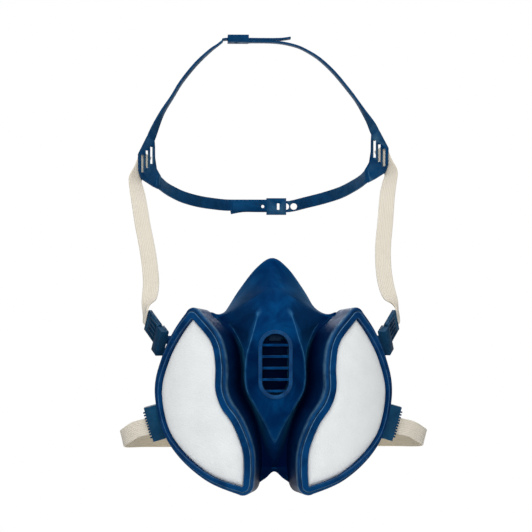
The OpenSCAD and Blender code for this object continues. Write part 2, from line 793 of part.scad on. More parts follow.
crown_arm = [
    [at_ladder(8.2, 0, 139.6) + right_shift, across_plate, 6.3],
    [at_ladder(10.15, 0, 143.6) + right_shift, across_plate, 6.3],
    [at_ladder(14.2, 0, 150.6) + right_shift, mix(across_plate, right_lean, 0.5), 7.4],
    [[65.2, 78.2, 162.6], mix(across_plate, right_lean, 0.85), band_w], [[61, 79.4, 169.4], right_lean, band_w],
    [[56.4, 80, 175.7], right_lean, band_w], [[46.5, 81.5, 188], right_lean, band_w],
    [[36.6, 83, 197.6], mix(right_lean, across_y, 0.4), band_w], [[27.4, crown_y, 203.7], across_y, band_w],
    [[20.7, crown_y, 206.6], across_y, band_w], [[12, crown_y, crown_z - band_lay - 0.8], across_y, band_w],
    [[3, crown_y, crown_z - band_lay], across_y, band_w],
    [[-9, crown_y, crown_z - band_lay], across_y, band_w],
    [[-20, crown_y, crown_z - band_lay], across_y, band_w]
];
rear_tongue = [
    [at_ladder(13.6, 0, 116.4) + right_shift, across_z, 8.6],
    [at_ladder(17.3, 0, 115) + right_shift, across_z, 8.6],
    [[64.6, 88.5, 116.7], across_z, band_w], [[60.6, 102.5, 114], across_z, band_w],
    [[53.5, 121, 110.3], across_z, band_w], [[42.2, 139, 106.9], across_z, band_w],
    [[31, 154.5, 104.4], across_z, band_w], [[25.2, rear_y - 3.2, 103], across_z, band_w],
    [[21.5, rear_y - 0.6, rear_z + 0.3], across_z, band_w], [[18.4, rear_y, rear_z], across_z, band_w],
    [[-2, rear_y, rear_z], across_z, band_w], [[-13, rear_y, rear_z], across_z, band_w],
    [[-22, rear_y, rear_z - 1.6], across_z, band_w]
];
rear_arm = [
    [at_ladder(13.6, 0, 116.2), across_z, 8.6], [at_ladder(17.3, 0, 115), across_z, 8.6],
    [[66.6, 90.5, 112.1], across_z, band_w], [[62.1, 103.5, 109.8], across_z, band_w],
    [[54.5, 119, 106.8], across_z, band_w], [[43.3, 137, 104.4], across_z, band_w],
    [[32, 152.5, 103.3], across_z, band_w],
    [[25.5, rear_y - band_lay - 3.2, rear_z + arm_rise], across_z, band_w],
    [[21, rear_y - band_lay - 0.3, rear_z + arm_rise], across_z, band_w],
    [[18, rear_y - band_lay, rear_z + arm_rise], across_z, band_w],
    [[4, rear_y - band_lay, rear_z + arm_rise], across_z, band_w],
    [[-14, rear_y - band_lay, rear_z + arm_rise], across_z, band_w]
];

keeper_l = 14;
keeper_wall = 1.5;
tongue_room = 0.4;
keeper_under = 0.1;

// A keeper that the tongue slides through: along x, the band's width on y, its outer side up
module keeper() {
    high = band_t + 2 * tongue_room;
    difference() {
        translate([-keeper_l, -band_w / 2 - keeper_wall - tongue_room, -band_lay - band_t / 2 - keeper_under])
            cube([keeper_l, band_w + 2 * keeper_wall + 2 * tongue_room,
                  band_lay + band_t / 2 + keeper_under + high / 2 + keeper_wall]);
        translate([-keeper_l - 1, -band_w / 2 - tongue_room, -high / 2 - keeper_under / 2])
            cube([keeper_l + 2, band_w + 2 * tongue_room, high + keeper_under / 2]);
    }
}

// The window through a keeper and the arm under it
module keeper_window() {
    translate([-keeper_l * 0.67, -band_w * 0.31, -band_lay - band_t])
        cube([2, band_w * 0.62, 20]);
}

// Row of adjusting holes through a tongue, from its end
module hole_row(count) {
    for (k = [0 : count - 1])
        translate([hole_pitch * (k + 1.24), 0, 0])
            cylinder(h = 10, d = hole_d, center = true);
}

crown_keeper_x = -11;
rear_keeper_x = 4;
peg_x = 1.3;
peg_d = 2.2;

module cradle_right() {
    color(plastic_teal)
        difference() {
            union() {
                translate(right_shift)
                    ladder_plate();
                ribbon(crown_arm, band_t, 3);
                ribbon(rear_tongue, band_t, 3);
                translate([crown_keeper_x, crown_y, crown_z])
                    keeper();
            }
            translate([crown_keeper_x, crown_y, crown_z])
                keeper_window();
            translate([-22, rear_y, rear_z])
                rotate([90, 0, 0])
                    hole_row(8);
        }
}

module cradle_left() {
    color(plastic_teal)
        difference() {
            union() {
                mirror([1, 0, 0]) {
                    ladder_plate();
                    ribbon(crown_tongue, band_t, 3);
                    ribbon(rear_arm, band_t, 3);
                }
                translate([rear_keeper_x, rear_y, rear_z])
                    rotate([-90, 0, 0])
                        mirror([1, 0, 0])
                            keeper();
            }
            translate([rear_keeper_x, rear_y, rear_z])
                rotate([-90, 0, 0])
                    mirror([1, 0, 0])
                        keeper_window();
            translate([peg_x, rear_y, rear_z])
                rotate([90, 0, 0])
                    cylinder(h = 10, d = peg_d, center = true);
            translate([17, crown_y, crown_z])
                mirror([1, 0, 0])
                    hole_row(7);
        }
}

// Straps, drawn for +X: a station's width lies along the bar or slot that it goes round

upper_bar = plate_root + plate_along * (plate_l + 1.6);
// How far the straps hang to the side between their ends: upper pair to the left, neck pair to the right
upper_sway = 1.7;
neck_sway = 1.7;

// A route moved sideways between two of its stations
function swayed(route, by, from, to) = [
    for (i = [0 : len(route) - 1])
        let (share = limit((i - from) / (to - from), 0, 1))
        [route[i][0] + [by * sin(180 * share), 0, 0], route[i][1], route[i][2]]
];
// On the ladder plate's outer side the strap runs up and back
along_plate = across_plate * 0.9 - across_z * 0.44;
upper_route = [
    [upper_bar + [-1.6, 0.4, 0], -plate_across, strap_w],
    [upper_bar + [0.9, 1.6, 1], -plate_across, strap_w],
    [[76.3, -20.5, 33.6], [-0.45, -0.25, 0.85], strap_w],
    [[74, -14, 40], [-0.95, -0.1, 0.3], strap_w],
    [[72.7, -5, 49], [-1, 0, 0], strap_w],
    [[73.3, 6, 59], [-1, 0, 0], strap_w],
    [[75.2, 19.5, 71], [-1, 0, 0], strap_w],
    [[78.6, 35, 86], [-1, 0, 0], strap_w],
    [[82, 54, 102], [-1, 0.1, 0], strap_w],
    [[84.3, 63, 110.4], [-0.95, 0.3, -0.15], strap_w],
    [at_ladder(-1.2, 1.8, 116.6), [-0.8, 0.5, -0.3], strap_w],
    [at_ladder(2.2, 1.5, 123), along_plate, strap_w],
    [at_ladder(5.4, 1.45, 129.5), along_plate, strap_w],
    [at_ladder(7.4, 1.45, 133.6), along_plate, strap_w]
];

// The right strap's upper end goes with the right ladder plate
right_route = [
    for (i = [0 : len(upper_route) - 1])
        [upper_route[i][0] + right_shift * limit((i - 4) / 6, 0, 1), upper_route[i][1], upper_route[i][2]]
];

module upper_strap(side) {
    color(webbing_cream)
        on_side(side)
            ribbon(swayed(side > 0 ? right_route : upper_route, -side * upper_sway, 2, 10), strap_t, 3);
}

clasp_y = 104;
clasp_z = -58;
// A place on the middle line of the lower buckle's jaw, at a distance out from the block's middle
function at_jaw(out) = lower_middle + lower_out * out - lower_up * jaw_low + [0, jaw_back, 0];

neck_route = [
    [at_jaw(lower_w / 2 - jaw_l + gap), lower_up, strap_w],
    [at_jaw(lower_w / 2 + 2.4), lower_up, strap_w],
    [[83.5, -33.4, -39], [0.27, 0, 0.96], strap_w],
    [[89.6, -26.5, -43], [0.27, 0, 1], strap_w],
    [[92.4, -17, -45.4], [0.26, 0, 1], strap_w],
    [[92.4, -6, -47], [0.18, 0, 1], strap_w],
    [[89.5, 12, -49], [0.06, 0, 1], strap_w],
    [[80, 45, -52], [0, 0, 1], strap_w],
    [[59, 80, -55.5], [0, 0, 1], strap_w],
    [[34, 99, -57.5], [0, 0, 1], strap_w],
    [[12.5, clasp_y, clasp_z], [0, 0, 1], strap_w]
];

module neck_strap(side) {
    color(webbing_cream)
        on_side(side)
            ribbon(swayed(neck_route, side * neck_sway, 1, 9), strap_t, 4);
}

// Neck clasp: a hook plate that drops into an eye plate

clasp_l = 12;
clasp_h = strap_w + 4;
clasp_t = 4;

module clasp_hook() {
    color(plastic_teal)
        translate([0, clasp_y, clasp_z])
            union() {
                translate([-clasp_l - gap, -clasp_t / 2, -clasp_h / 2])
                    cube([clasp_l - 0.6, clasp_t, clasp_h]);
                translate([-1, -0.7, -clasp_h / 2 + 2])
                    cube([6, 1.4, clasp_h - 4]);
                translate([3.4, -0.7, -clasp_h / 2 + 2])
                    cube([1.6, 2, clasp_h - 4]);
            }
}

module clasp_eye() {
    color(plastic_teal)
        translate([0, clasp_y, clasp_z])
            difference() {
                translate([gap, -clasp_t / 2, -clasp_h / 2])
                    cube([clasp_l, clasp_t, clasp_h]);
                translate([-1, -1, -clasp_h / 2 + 1.6])
                    cube([7, 2.6, clasp_h]);
                translate([-1, -1, -clasp_h / 2 + 1.6])
                    cube([3.9, 10, clasp_h]);
            }
}

facepiece();
exhalation_seat();
exhalation_flap();
exhalation_grille();
filter_housing(-1);  // filter_housing_left
filter_housing(1);  // filter_housing_right
filter_frame(-1);  // filter_frame_left
filter_frame(1);  // filter_frame_right
prefilter(-1);  // prefilter_left
prefilter(1);  // prefilter_right
carbon_bed(-1);  // carbon_bed_left
carbon_bed(1);  // carbon_bed_right
inhalation_seat(-1);  // inhalation_seat_left
inhalation_seat(1);  // inhalation_seat_right
inhalation_flap(-1);  // inhalation_flap_left
inhalation_flap(1);  // inhalation_flap_right
upper_stud(-1);  // upper_stud_left
upper_stud(1);  // upper_stud_right
lower_stud(-1);  // lower_stud_left
lower_stud(1);  // lower_stud_right
upper_buckle(-1);  // upper_buckle_left
upper_buckle(1);  // upper_buckle_right
lower_buckle(-1);  // lower_buckle_left
lower_buckle(1);  // lower_buckle_right
upper_strap(-1);  // upper_strap_left
upper_strap(1);  // upper_strap_right
neck_strap(-1);  // neck_strap_left
neck_strap(1);  // neck_strap_right
clasp_hook();
clasp_eye();
cradle_left();
cradle_right();
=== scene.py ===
# A half-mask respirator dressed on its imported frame. Sizes are in millimetres until a mesh is made.
import math

import bmesh
import bpy
import numpy as np
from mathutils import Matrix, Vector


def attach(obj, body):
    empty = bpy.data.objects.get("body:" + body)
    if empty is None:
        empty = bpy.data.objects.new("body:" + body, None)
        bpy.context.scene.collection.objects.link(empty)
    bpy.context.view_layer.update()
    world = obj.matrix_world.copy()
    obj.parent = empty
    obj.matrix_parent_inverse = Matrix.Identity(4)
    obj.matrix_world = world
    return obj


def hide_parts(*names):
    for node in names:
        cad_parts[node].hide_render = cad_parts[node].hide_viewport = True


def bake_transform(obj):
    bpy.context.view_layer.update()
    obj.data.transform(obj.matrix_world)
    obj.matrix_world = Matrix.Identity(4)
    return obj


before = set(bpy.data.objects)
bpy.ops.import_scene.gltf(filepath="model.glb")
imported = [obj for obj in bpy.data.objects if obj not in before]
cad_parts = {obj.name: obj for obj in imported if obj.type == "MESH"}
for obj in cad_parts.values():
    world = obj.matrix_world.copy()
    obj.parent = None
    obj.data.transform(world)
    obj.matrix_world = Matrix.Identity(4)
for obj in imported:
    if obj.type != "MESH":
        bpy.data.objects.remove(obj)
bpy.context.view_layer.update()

# Facepiece: the soft cup that carries everything else, moulded in one shot from navy rubber.
# A raised panel in front holds the outlet valve, channels run down beside it, and the edge
# that meets the face turns in as a thin lip.
MM = 0.001
MIRROR = np.array([-1.0, 1.0, 1.0])
SAME_PLACE = 1e-7
CUP_POINTS = 240
CUP_WALL = 2.4
CUP_SHARP = 70
PANEL_FRONT = 74
GRILLE_R = 9.9
GRILLE_STRAIGHT = 20.3
VALVE_Z = 2.5
TUNNEL_R = GRILLE_R - 0.9
TUNNEL_DEPTHS = (53, 60, 67)
POD_X, POD_Y, BACK_R = 12, -17, 41.4
FLARE_X, FLARE_SLOPE = 46, 0.75
NOSE_HALF = 7
BED_SINK, BED_DEEP = 0.6, 1
PORT_TURN, PORT_Z, NECK_R = 45, -14, 9.5
PORT_PLAY, PORT_REACH, PORT_SIDES = 0.06, 20, 96
MOUTH_ROUND, PANEL_ROUND, CREASE_ROUND, NOSE_ROUND = 0.4, 0.55, 0.5, 5
ROUND_SHARE = 0.42
NOSE_PASSES = 120
FLANK_ROWS, SEAL_ROWS, LIP_ROWS, INNER_ROWS = 8, 10, 13, 25
SEAL_BEYOND = 1.6
LIP_OPEN, LIP_EDGE, LIP_WEAR_AND_HIGHLIGHT = 0.8, 1.8, 0.15
LIP_TURNS = ((1, 0), (0.985, 1.2), (0.93, 0.6), (LIP_OPEN, -3))
LIP_UNDER = ((LIP_OPEN, -3 - LIP_EDGE), (0.925, -3.2))
# Wear and a painted highlight across each rounded edge of the cup, strongest at the middle of its arc
ARC_WEAR_AND_HIGHLIGHT = np.array([0.15, 0.8, 1.0, 0.8, 0.15])[:, None]
PANEL_WEAR_AND_HIGHLIGHT_LEAST, CREASE_WEAR_AND_HIGHLIGHT_MOST = 0.4, 0.8
# Painted shade: how far the cup's colour is darkened on the nose's sides, beside the panel, in the channels,
# at the chin and in the valve's tunnel
NOSE_SHADE, UPPER_SHADE, PANEL_SHADE, CHIN_SHADE, TUNNEL_SHADE = 0.7, 0.65, 0.65, 0.9, 0.8
EDGE_BREAK, GRAIN_DEPTH, ROUGH_DRIFT = 220.0, 0.0003, 0.10
RUBBER_DEEP = (0.0004, 0.0190, 0.085, 1)
RUBBER_NAVY = (0.0010, 0.0460, 0.160, 1)
# Paler colour of wear and a painted highlight on the edges of the cup and the valve seats
RUBBER_WEAR_AND_HIGHLIGHT = (0.030, 0.130, 0.270, 1)
SHEEN_BLUE = (0.05, 0.45, 0.90, 1)
# Colour that painted shade darkens a moulded piece towards, where shade falls in its recesses
PAINTED_SHADE = (0.0002, 0.0030, 0.026, 1)

# Stations, counted along a half loop from nose to chin, between which an edge's wear with its painted
# highlight, or a painted shade, comes or goes
PANEL_FADE, CREASE_FADE = (2.9, 1.7), (4.4, 3.2)
PANEL_WEAR_AND_HIGHLIGHT, CREASE_WEAR_AND_HIGHLIGHT = (13, 10), (4.3, 5)
BESIDE_VALVE, AT_CHIN = (4.8, 6.8), (12, 13.2)
NOSE_FROM, UPPER_FROM, UPPER_TO = (1.8, 3), (0.7, 1.9), (4.2, 3.4)
PANEL_FROM, PANEL_TO = (4.2, 5.7), (11.5, 10)

SEAL_LOOP = [
    [0, -30, 64.5], [9.5, -26, 58.5], [19.5, -17, 45.5], [26, -10, 35], [31, -5, 27], [36, 0, 18],
    [41.5, 4.7, 8.5], [46, 7.7, -1], [49, 8.8, -11], [49.6, 8.8, -22], [47, 7.5, -35], [40, 3, -48.5],
    [28, -4, -58.5], [16, -8.3, -62.8], [8, -10.4, -64.2], [0, -11, -64.5]]
CHEEK_LOOP = [
    [0, -46, 52.5], [8.5, -43, 49], [18.5, -37, 40], [27.6, -38.5, 30.4], [33, -43, 30.7], [39, -47, 31.6],
    [48.5, -38, 24.5], [56.5, -31.9, 8], [60.4, -28.9, -8], [60.4, -28.9, -21], [55.5, -32.6, -37],
    [45.5, -40.5, -52], [30, -53.2, -64], [15.5, -57.4, -70.6], [6.2, -57.4, -66.4], [0, -56.5, -61.8]]
CHANNEL_LOOP = [
    [0, -53, 46.5], [6, -52, 45.4], [13, -48, 40.5], [21.5, -47.5, 33], [30.5, -46, 28.8], [29.5, -51, 24.5],
    [25.3, -54.5, 18], [21.7, -55.8, 10], [20.2, -56.4, 1], [19.7, -56.6, -8], [17.8, -56.9, -17],
    [13.8, -57.2, -26], [9.8, -57.4, -36], [6.6, -57.5, -45.5], [3.8, -57.5, -52.5], [0, -57.5, -56.5]]
CREASE_LOOP = [
    [0, -55, 44.5], [6, -54.2, 43.5], [12, -51.5, 39], [20, -51, 32.5], [27.3, -49.5, 27.5],
    [24, -54.5, 22.3], [21, -60.5, 16.8], [18.4, -67.5, 10.3], [17.9, -70.8, 2], [17.9, -71, -7],
    [16.6, -70.8, -14], [13, -69.7, -20.5], [8.8, -68.2, -27.5], [5, -66, -34], [2.3, -64.2, -40],
    [0, -63.2, -43.6]]
PANEL_LOOP = [
    [0, -57, 42], [4, -56.9, 41.6], [7.6, -58.6, 38.5], [10.2, -65.4, 30], [12, -69, 24],
    [13.8, -70.2, 17.8], [15.3, -70.8, 13.2], [16.8, -71.4, 8], [17.5, -72, 1.5], [17.5, -72, -6.8],
    [16.2, -71.8, -13.6], [12.6, -70.6, -20], [8.4, -69, -27], [4.7, -66.8, -33.3], [2, -65, -39],
    [0, -64, -42.5]]
SHOULDER = 5

# Share of the way from nose to chin at each point round the cup: down the right side, then up the left
TURN = np.linspace(0, 2, CUP_POINTS, endpoint=False)
ON_RIGHT = TURN <= 1
NOSE_TO_CHIN = np.where(ON_RIGHT, TURN, 2 - TURN)


def cubic(a, b, c, d, t):
    """Catmull-Rom cubic from b to c: its slope at each end is half the chord of the points either side."""
    return 0.5 * (2 * b + (c - a) * t + (2 * a - 5 * b + 4 * c - d) * t ** 2
                  + (3 * b - a - 3 * c + d) * t ** 3)


def along_curve(points, share, before=None, after=None):
    """Points at shares 0 to 1 of a Catmull-Rom curve; its end slopes use the points before and after it."""
    points = np.asarray(points, float)
    before = points[0] if before is None else before
    after = points[-1] if after is None else after
    padded = np.concatenate([[before], points, [after]])
    place = np.clip(share, 0, 1) * (len(points) - 1)
    k = np.minimum(place.astype(int), len(points) - 2)
    t = (place - k).reshape((-1,) + (1,) * (points.ndim - 1))
    return cubic(padded[k], padded[k + 1], padded[k + 2], padded[k + 3], t)


def ramp(value, low, high):
    """How far a value is on its way from one level to another, as a share held between 0 and 1."""
    return np.clip((value - low) / (high - low), 0, 1)


def loop_ring(half):
    """Closed ring: a curve through a half loop from nose to chin, then its mirror image back to the nose."""
    half = np.asarray(half, float)
    ring = along_curve(half, NOSE_TO_CHIN, half[1] * MIRROR, half[-2] * MIRROR)
    return np.where(ON_RIGHT[:, None], ring, ring * MIRROR)


def back_y(x, ahead):
    """Depth of the surface that cup and housings meet on: an upright cylinder that runs out flat past
    a width."""
    inner = np.minimum(x, FLARE_X)
    return POD_Y - np.sqrt((BACK_R + ahead) ** 2 - (inner - POD_X) ** 2) + (x - inner) * FLARE_SLOPE


def laid(ring):
    """Beside and below the nose, a point ahead of the housings' backs moves back onto them."""
    x, y, z = np.abs(ring[..., 0]), ring[..., 1], ring[..., 2]
    beside = (x > NOSE_HALF) & ((x > POD_X) | (z < 0))
    return np.stack([ring[..., 0], np.where(beside, np.maximum(y, back_y(x, -BED_SINK)), y), z], -1)


def valve_ring(radius, depth):
    """Ring round a slot with round ends, by distance from its top: arc, straight side, arc, and its
    mirror image."""
    arc = math.pi * radius / 2
    run = NOSE_TO_CHIN * (2 * arc + GRILLE_STRAIGHT)
    side = np.clip(run - arc, 0, GRILLE_STRAIGHT)
    turn = (run - side) / radius
    x = np.where(ON_RIGHT, 1, -1) * radius * np.sin(turn)
    z = VALVE_Z + GRILLE_STRAIGHT / 2 - side + radius * np.cos(turn)
    return np.stack([x, np.full(CUP_POINTS, -float(depth)), z], -1)


def unit(v):
    """Vectors divided by their own lengths."""
    return v / np.maximum(np.linalg.norm(v, axis=-1, keepdims=True), 1e-9)


def rounded(before, corner, after, radius):
    """Rings of a small arc in place of a corner: a quadratic Bezier from one side of it to the other."""
    start = corner + radius * unit(before - corner)
    end = corner + radius * unit(after - corner)
    t = np.linspace(0, 1, len(ARC_WEAR_AND_HIGHLIGHT))[:, None, None]
    return (1 - t) ** 2 * start + 2 * t * (1 - t) * corner + t ** 2 * end


def between(a, b, count):
    """Rings at even shares strictly between two rings."""
    t = np.linspace(0, 1, count + 2)[1:-1, None, None]
    return a + (b - a) * t


def flow(a, b, c, d, count):
    """Rings from b up to but not with c on the Catmull-Rom curves through four rings."""
    return cubic(a, b, c, d, np.linspace(0, 1, count, endpoint=False)[:, None, None])


def grid_quads(rows, cols, closed):
    """Quads between neighbours of a grid numbered row by row. Its rows are rings, and in a closed grid the
    last row runs on into the first."""
    r = np.arange(rows if closed else rows - 1)[:, None]
    c = np.arange(cols)[None, :]
    r_next, c_next = (r + 1) % rows, (c + 1) % cols
    corners = [r * cols + c, r * cols + c_next, r_next * cols + c_next, r_next * cols + c]
    return np.stack(np.broadcast_arrays(*corners), -1).reshape(-1, 4)


def surface(name, grid, marks, sharp=50, closed=True):
    """Piece from a grid of points in millimetres: equal points are merged, faces turned outwards, shaded
    smooth up to an angle. Each mark is a named value per point that the material can read."""
    mesh = bpy.data.meshes.new(name)
    quads = grid_quads(*grid.shape[:2], closed)
    mesh.from_pydata((grid.reshape(-1, 3) * MM).tolist(), [], quads.tolist())
    for mark, values in marks.items():
        layer = mesh.attributes.new(mark, "FLOAT", "POINT")
        layer.data.foreach_set("value", np.ascontiguousarray(values, np.float32).ravel())
    tidy = bmesh.new()
    tidy.from_mesh(mesh)
    bmesh.ops.remove_doubles(tidy, verts=tidy.verts, dist=SAME_PLACE)
    bmesh.ops.recalc_face_normals(tidy, faces=tidy.faces)
    tidy.to_mesh(mesh)
    tidy.free()
    shade(mesh, sharp)
    piece = bpy.data.objects.new(name, mesh)
    bpy.context.scene.collection.objects.link(piece)
    return piece


def shade(mesh, sharp):
    """Smooth shading that breaks where faces turn by more than an angle in degrees."""
    mesh.polygons.foreach_set("use_smooth", np.ones(len(mesh.polygons), bool))
    mesh.set_sharp_from_angle(angle=math.radians(sharp))
    mesh.update()


def settle(piece, material, body, slot, *nodes):
    """Gives a piece its material, the body it moves with and the CAD nodes that it stands for; its slot is
    not used.
    """
    piece.data.materials.clear()
    piece.data.materials.append(material)
    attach(piece, body)
    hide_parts(*nodes)


def baked(piece):
    """Makes a piece's modifiers part of its mesh."""
    solid = piece.evaluated_get(bpy.context.evaluated_depsgraph_get())
    mesh = bpy.data.meshes.new_from_object(solid)
    piece.modifiers.clear()
    old, piece.data = piece.data, mesh
    bpy.data.meshes.remove(old)


def port_place(side):
    """Middle and axis of an inhalation port, square to the surface behind the housing."""
    turn = math.radians(PORT_TURN)
    axis = np.array([side * math.sin(turn), -math.cos(turn), 0])
    return np.array([side * POD_X, POD_Y, PORT_Z]) + BACK_R * axis, axis


def drill(piece, side, radius, reach):
    """Bores a round hole through a piece along an inhalation port's axis: a circle carried along the axis."""
    middle, axis = port_place(side)
    up = np.array([0, 0, 1])
    turn = np.linspace(0, 2 * math.pi, PORT_SIDES, endpoint=False)[None, :, None]
    level = np.array([-reach, -reach, reach, reach])[:, None, None]
    width = np.array([0, radius, radius, 0])[:, None, None]
    rings = middle + level * axis + width * (np.cos(turn) * np.cross(axis, up) + np.sin(turn) * up)
    cutter = surface("cutter", rings, {}, closed=False)
    bore = piece.modifiers.new("bore", "BOOLEAN")
    bore.operation, bore.solver, bore.object = "DIFFERENCE", "EXACT", cutter
    baked(piece)
    bpy.data.objects.remove(cutter)


def put(tree, kind, **settings):
    """One shader node: a setting named like a socket fills or links it, any other is a property of
    the node."""
    made = tree.nodes.new("ShaderNode" + kind)
    for name, value in settings.items():
        socket = made.inputs.get(name.replace("_", " "))
        if socket is None:
            setattr(made, name, value)
        elif isinstance(value, bpy.types.NodeSocket):
            tree.links.new(value, socket)
        else:
            socket.default_value = value
    return made


def reckon(tree, operation, *values):
    """A sum on values or sockets by one Math node."""
    made = put(tree, "Math", operation=operation)
    for socket, value in zip(made.inputs, values):
        if isinstance(value, bpy.types.NodeSocket):
            tree.links.new(value, socket)
        else:
            socket.default_value = value
    return made.outputs[0]


def tint(tree, mask, low, high):
    """A colour that goes from low to high with a mask, by the colour sockets of one Mix node."""
    made = put(tree, "Mix", data_type="RGBA")
    for place, value in ((0, mask), (6, low), (7, high)):
        if isinstance(value, bpy.types.NodeSocket):
            tree.links.new(value, made.inputs[place])
        else:
            made.inputs[place].default_value = value
    return made.outputs[2]


def spread(tree, value, low, high, to_low=0.0, to_high=1.0):
    """A value's range between two levels, laid out smoothly on another range."""
    made = put(tree, "MapRange", interpolation_type="SMOOTHSTEP", Value=value, From_Min=low,
               From_Max=high, To_Min=to_low, To_Max=to_high)
    return made.outputs[0]


def effect(name, inputs, outputs):
    """An empty shader node group with named value sockets, and its two ends."""
    tree = bpy.data.node_groups.new(name, "ShaderNodeTree")
    for way, names in (("INPUT", inputs), ("OUTPUT", outputs)):
        for socket in names:
            kind = "NodeSocketVector" if socket == "Place" else "NodeSocketFloat"
            tree.interface.new_socket(socket, in_out=way, socket_type=kind)
    return tree, tree.nodes.new("NodeGroupInput").outputs, tree.nodes.new("NodeGroupOutput").inputs


def moulded_grain():
    """Surface of a moulded piece: fine tool grain as height, and slow cloudy flow marks as a mask."""
    tree, given, made = effect("moulded_grain", ["Place", "Grain", "Cloud"], ["Height", "Clouds"])
    fine = put(tree, "TexNoise", Vector=given["Place"], Scale=given["Grain"], Detail=3, Roughness=0.6)
    slow = put(tree, "TexNoise", Vector=given["Place"], Scale=given["Cloud"], Detail=5, Roughness=0.62,
               Distortion=0.8)
    both = reckon(tree, "MULTIPLY_ADD", slow.outputs[0], 0.35, fine.outputs[0])
    tree.links.new(both, made["Height"])
    tree.links.new(spread(tree, slow.outputs[0], 0.34, 0.68), made["Clouds"])
    return tree


def worn_and_highlighted_edges():
    """Edge wear and painted highlight: the piece's own edge mark, broken up by noise so that the line comes
    and goes.
    """
    tree, given, made = effect("worn_and_highlighted_edges", ["Place", "Edge", "Break"], ["Mask"])
    patch = put(tree, "TexNoise", Vector=given["Place"], Scale=given["Break"], Detail=4, Roughness=0.65)
    broken = spread(tree, patch.outputs[0], 0.25, 0.65, 0.25, 1.0)
    tree.links.new(reckon(tree, "MULTIPLY", given["Edge"], broken), made["Mask"])
    return tree


GRAIN = moulded_grain()
WEAR_AND_HIGHLIGHT = worn_and_highlighted_edges()


def new_finish(name):
    """A new node material, with its tree and its shader."""
    material = bpy.data.materials.new(name)
    material.use_nodes = True
    return material, material.node_tree, material.node_tree.nodes["Principled BSDF"]


def moulded(name, deep, lit, wear_and_highlight_colour, grain, cloud, rough, gloss, relief, sheen=0.0):
    """Material of a moulded piece: cloudy colour, darkened by painted shade where its shade mark lies and
    made paler on marked edges by wear with a painted highlight, with roughness that drifts, and grain relief."""
    material, tree, shader = new_finish(name)
    place = put(tree, "TexCoord").outputs["Object"]
    mark, painted_shade_mask = [put(tree, "Attribute", attribute_name=n).outputs["Fac"] for n in ("edge", "painted_shade")]
    skin = put(tree, "Group", node_tree=GRAIN, Place=place, Grain=grain, Cloud=cloud).outputs
    edge_wear_and_highlight = put(tree, "Group", node_tree=WEAR_AND_HIGHLIGHT, Place=place, Edge=mark, Break=EDGE_BREAK).outputs["Mask"]
    # Painted shade: the shade mark darkens the cloudy colour; the edge mark then makes it paler with wear and
    # a painted highlight
    plain = tint(tree, painted_shade_mask, tint(tree, skin["Clouds"], deep, lit), PAINTED_SHADE)
    colour = tint(tree, edge_wear_and_highlight, plain, wear_and_highlight_colour)
    drift = reckon(tree, "MULTIPLY_ADD", skin["Clouds"], -ROUGH_DRIFT, rough + ROUGH_DRIFT / 2)
    bump = put(tree, "Bump", Strength=relief, Distance=GRAIN_DEPTH, Height=skin["Height"])
    tree.links.new(colour, shader.inputs["Base Color"])
    tree.links.new(drift, shader.inputs["Roughness"])
    tree.links.new(bump.outputs[0], shader.inputs["Normal"])
    shader.inputs["Specular IOR Level"].default_value = gloss
    shader.inputs["Specular Tint"].default_value = SHEEN_BLUE
    shader.inputs["Sheen Weight"].default_value = sheen
    shader.inputs["Sheen Tint"].default_value = SHEEN_BLUE
    return material


cup_rubber = moulded("cup_rubber", RUBBER_DEEP, RUBBER_NAVY, RUBBER_WEAR_AND_HIGHLIGHT, grain=1900.0, cloud=55.0,
                     rough=0.46, gloss=0.008, relief=0.22, sheen=0.14)

half_bed = (np.array(CHANNEL_LOOP, float) + np.array(CHEEK_LOOP, float)) / 2
half_bed[SHOULDER:, 1] = back_y(half_bed[SHOULDER:, 0], -BED_DEEP)
seal, cheek, bed, channel, crease, panel = [
    loop_ring(half) for half in (SEAL_LOOP, CHEEK_LOOP, half_bed, CHANNEL_LOOP, CREASE_LOOP, PANEL_LOOP)]
beyond = cheek + (seal - cheek) * SEAL_BEYOND
mouth = valve_ring(TUNNEL_R, PANEL_FRONT)
tunnel = np.stack([valve_ring(TUNNEL_R, depth) for depth in TUNNEL_DEPTHS])


def turned_in(share, back):
    """The seal's ring drawn in about the middle by a share, and moved back."""
    return seal * np.array([share, 1, share]) + np.array([0, back, 0])


# Over the nose the panel's edges and the creases fade out into one smooth cone
at = NOSE_TO_CHIN * (len(PANEL_LOOP) - 1)
panel_fade = ramp(at, *PANEL_FADE)[:, None]
crease_fade = ramp(at, *CREASE_FADE)[:, None]
room = ROUND_SHARE * np.linalg.norm(panel - crease, axis=1, keepdims=True)
mouth_arc = rounded(tunnel[-1], mouth, panel, MOUTH_ROUND)
panel_arc = rounded(mouth, panel, crease, np.minimum(PANEL_ROUND + NOSE_ROUND * panel_fade, room))
crease_arc = rounded(panel, crease, channel, np.minimum(CREASE_ROUND + NOSE_ROUND * crease_fade, room))
flank_top = crease_arc[-1]
coarse = [
    laid(channel), laid(cubic(crease, channel, bed, cheek, 0.5)), laid(bed),
    laid(cubic(channel, bed, cheek, seal, 0.5)), laid(cheek),
    *[cubic(bed, cheek, seal, beyond, t) for t in (0.25, 0.5, 0.75)], seal]


def inside(r):
    """The ring one wall inside ring r of the cup, along the normal of its neighbours."""
    here = coarse[r]
    round_way = np.roll(here, -1, 0) - np.roll(here, 1, 0)
    down_way = coarse[r + 1] - coarse[max(r - 1, 0)]
    return here - CUP_WALL * unit(np.cross(round_way, down_way))


inner = np.stack([inside(r) for r in (6, 5, 4, 3, 2, 1, 0)])
lip = np.stack([turned_in(*turn) for turn in LIP_TURNS])
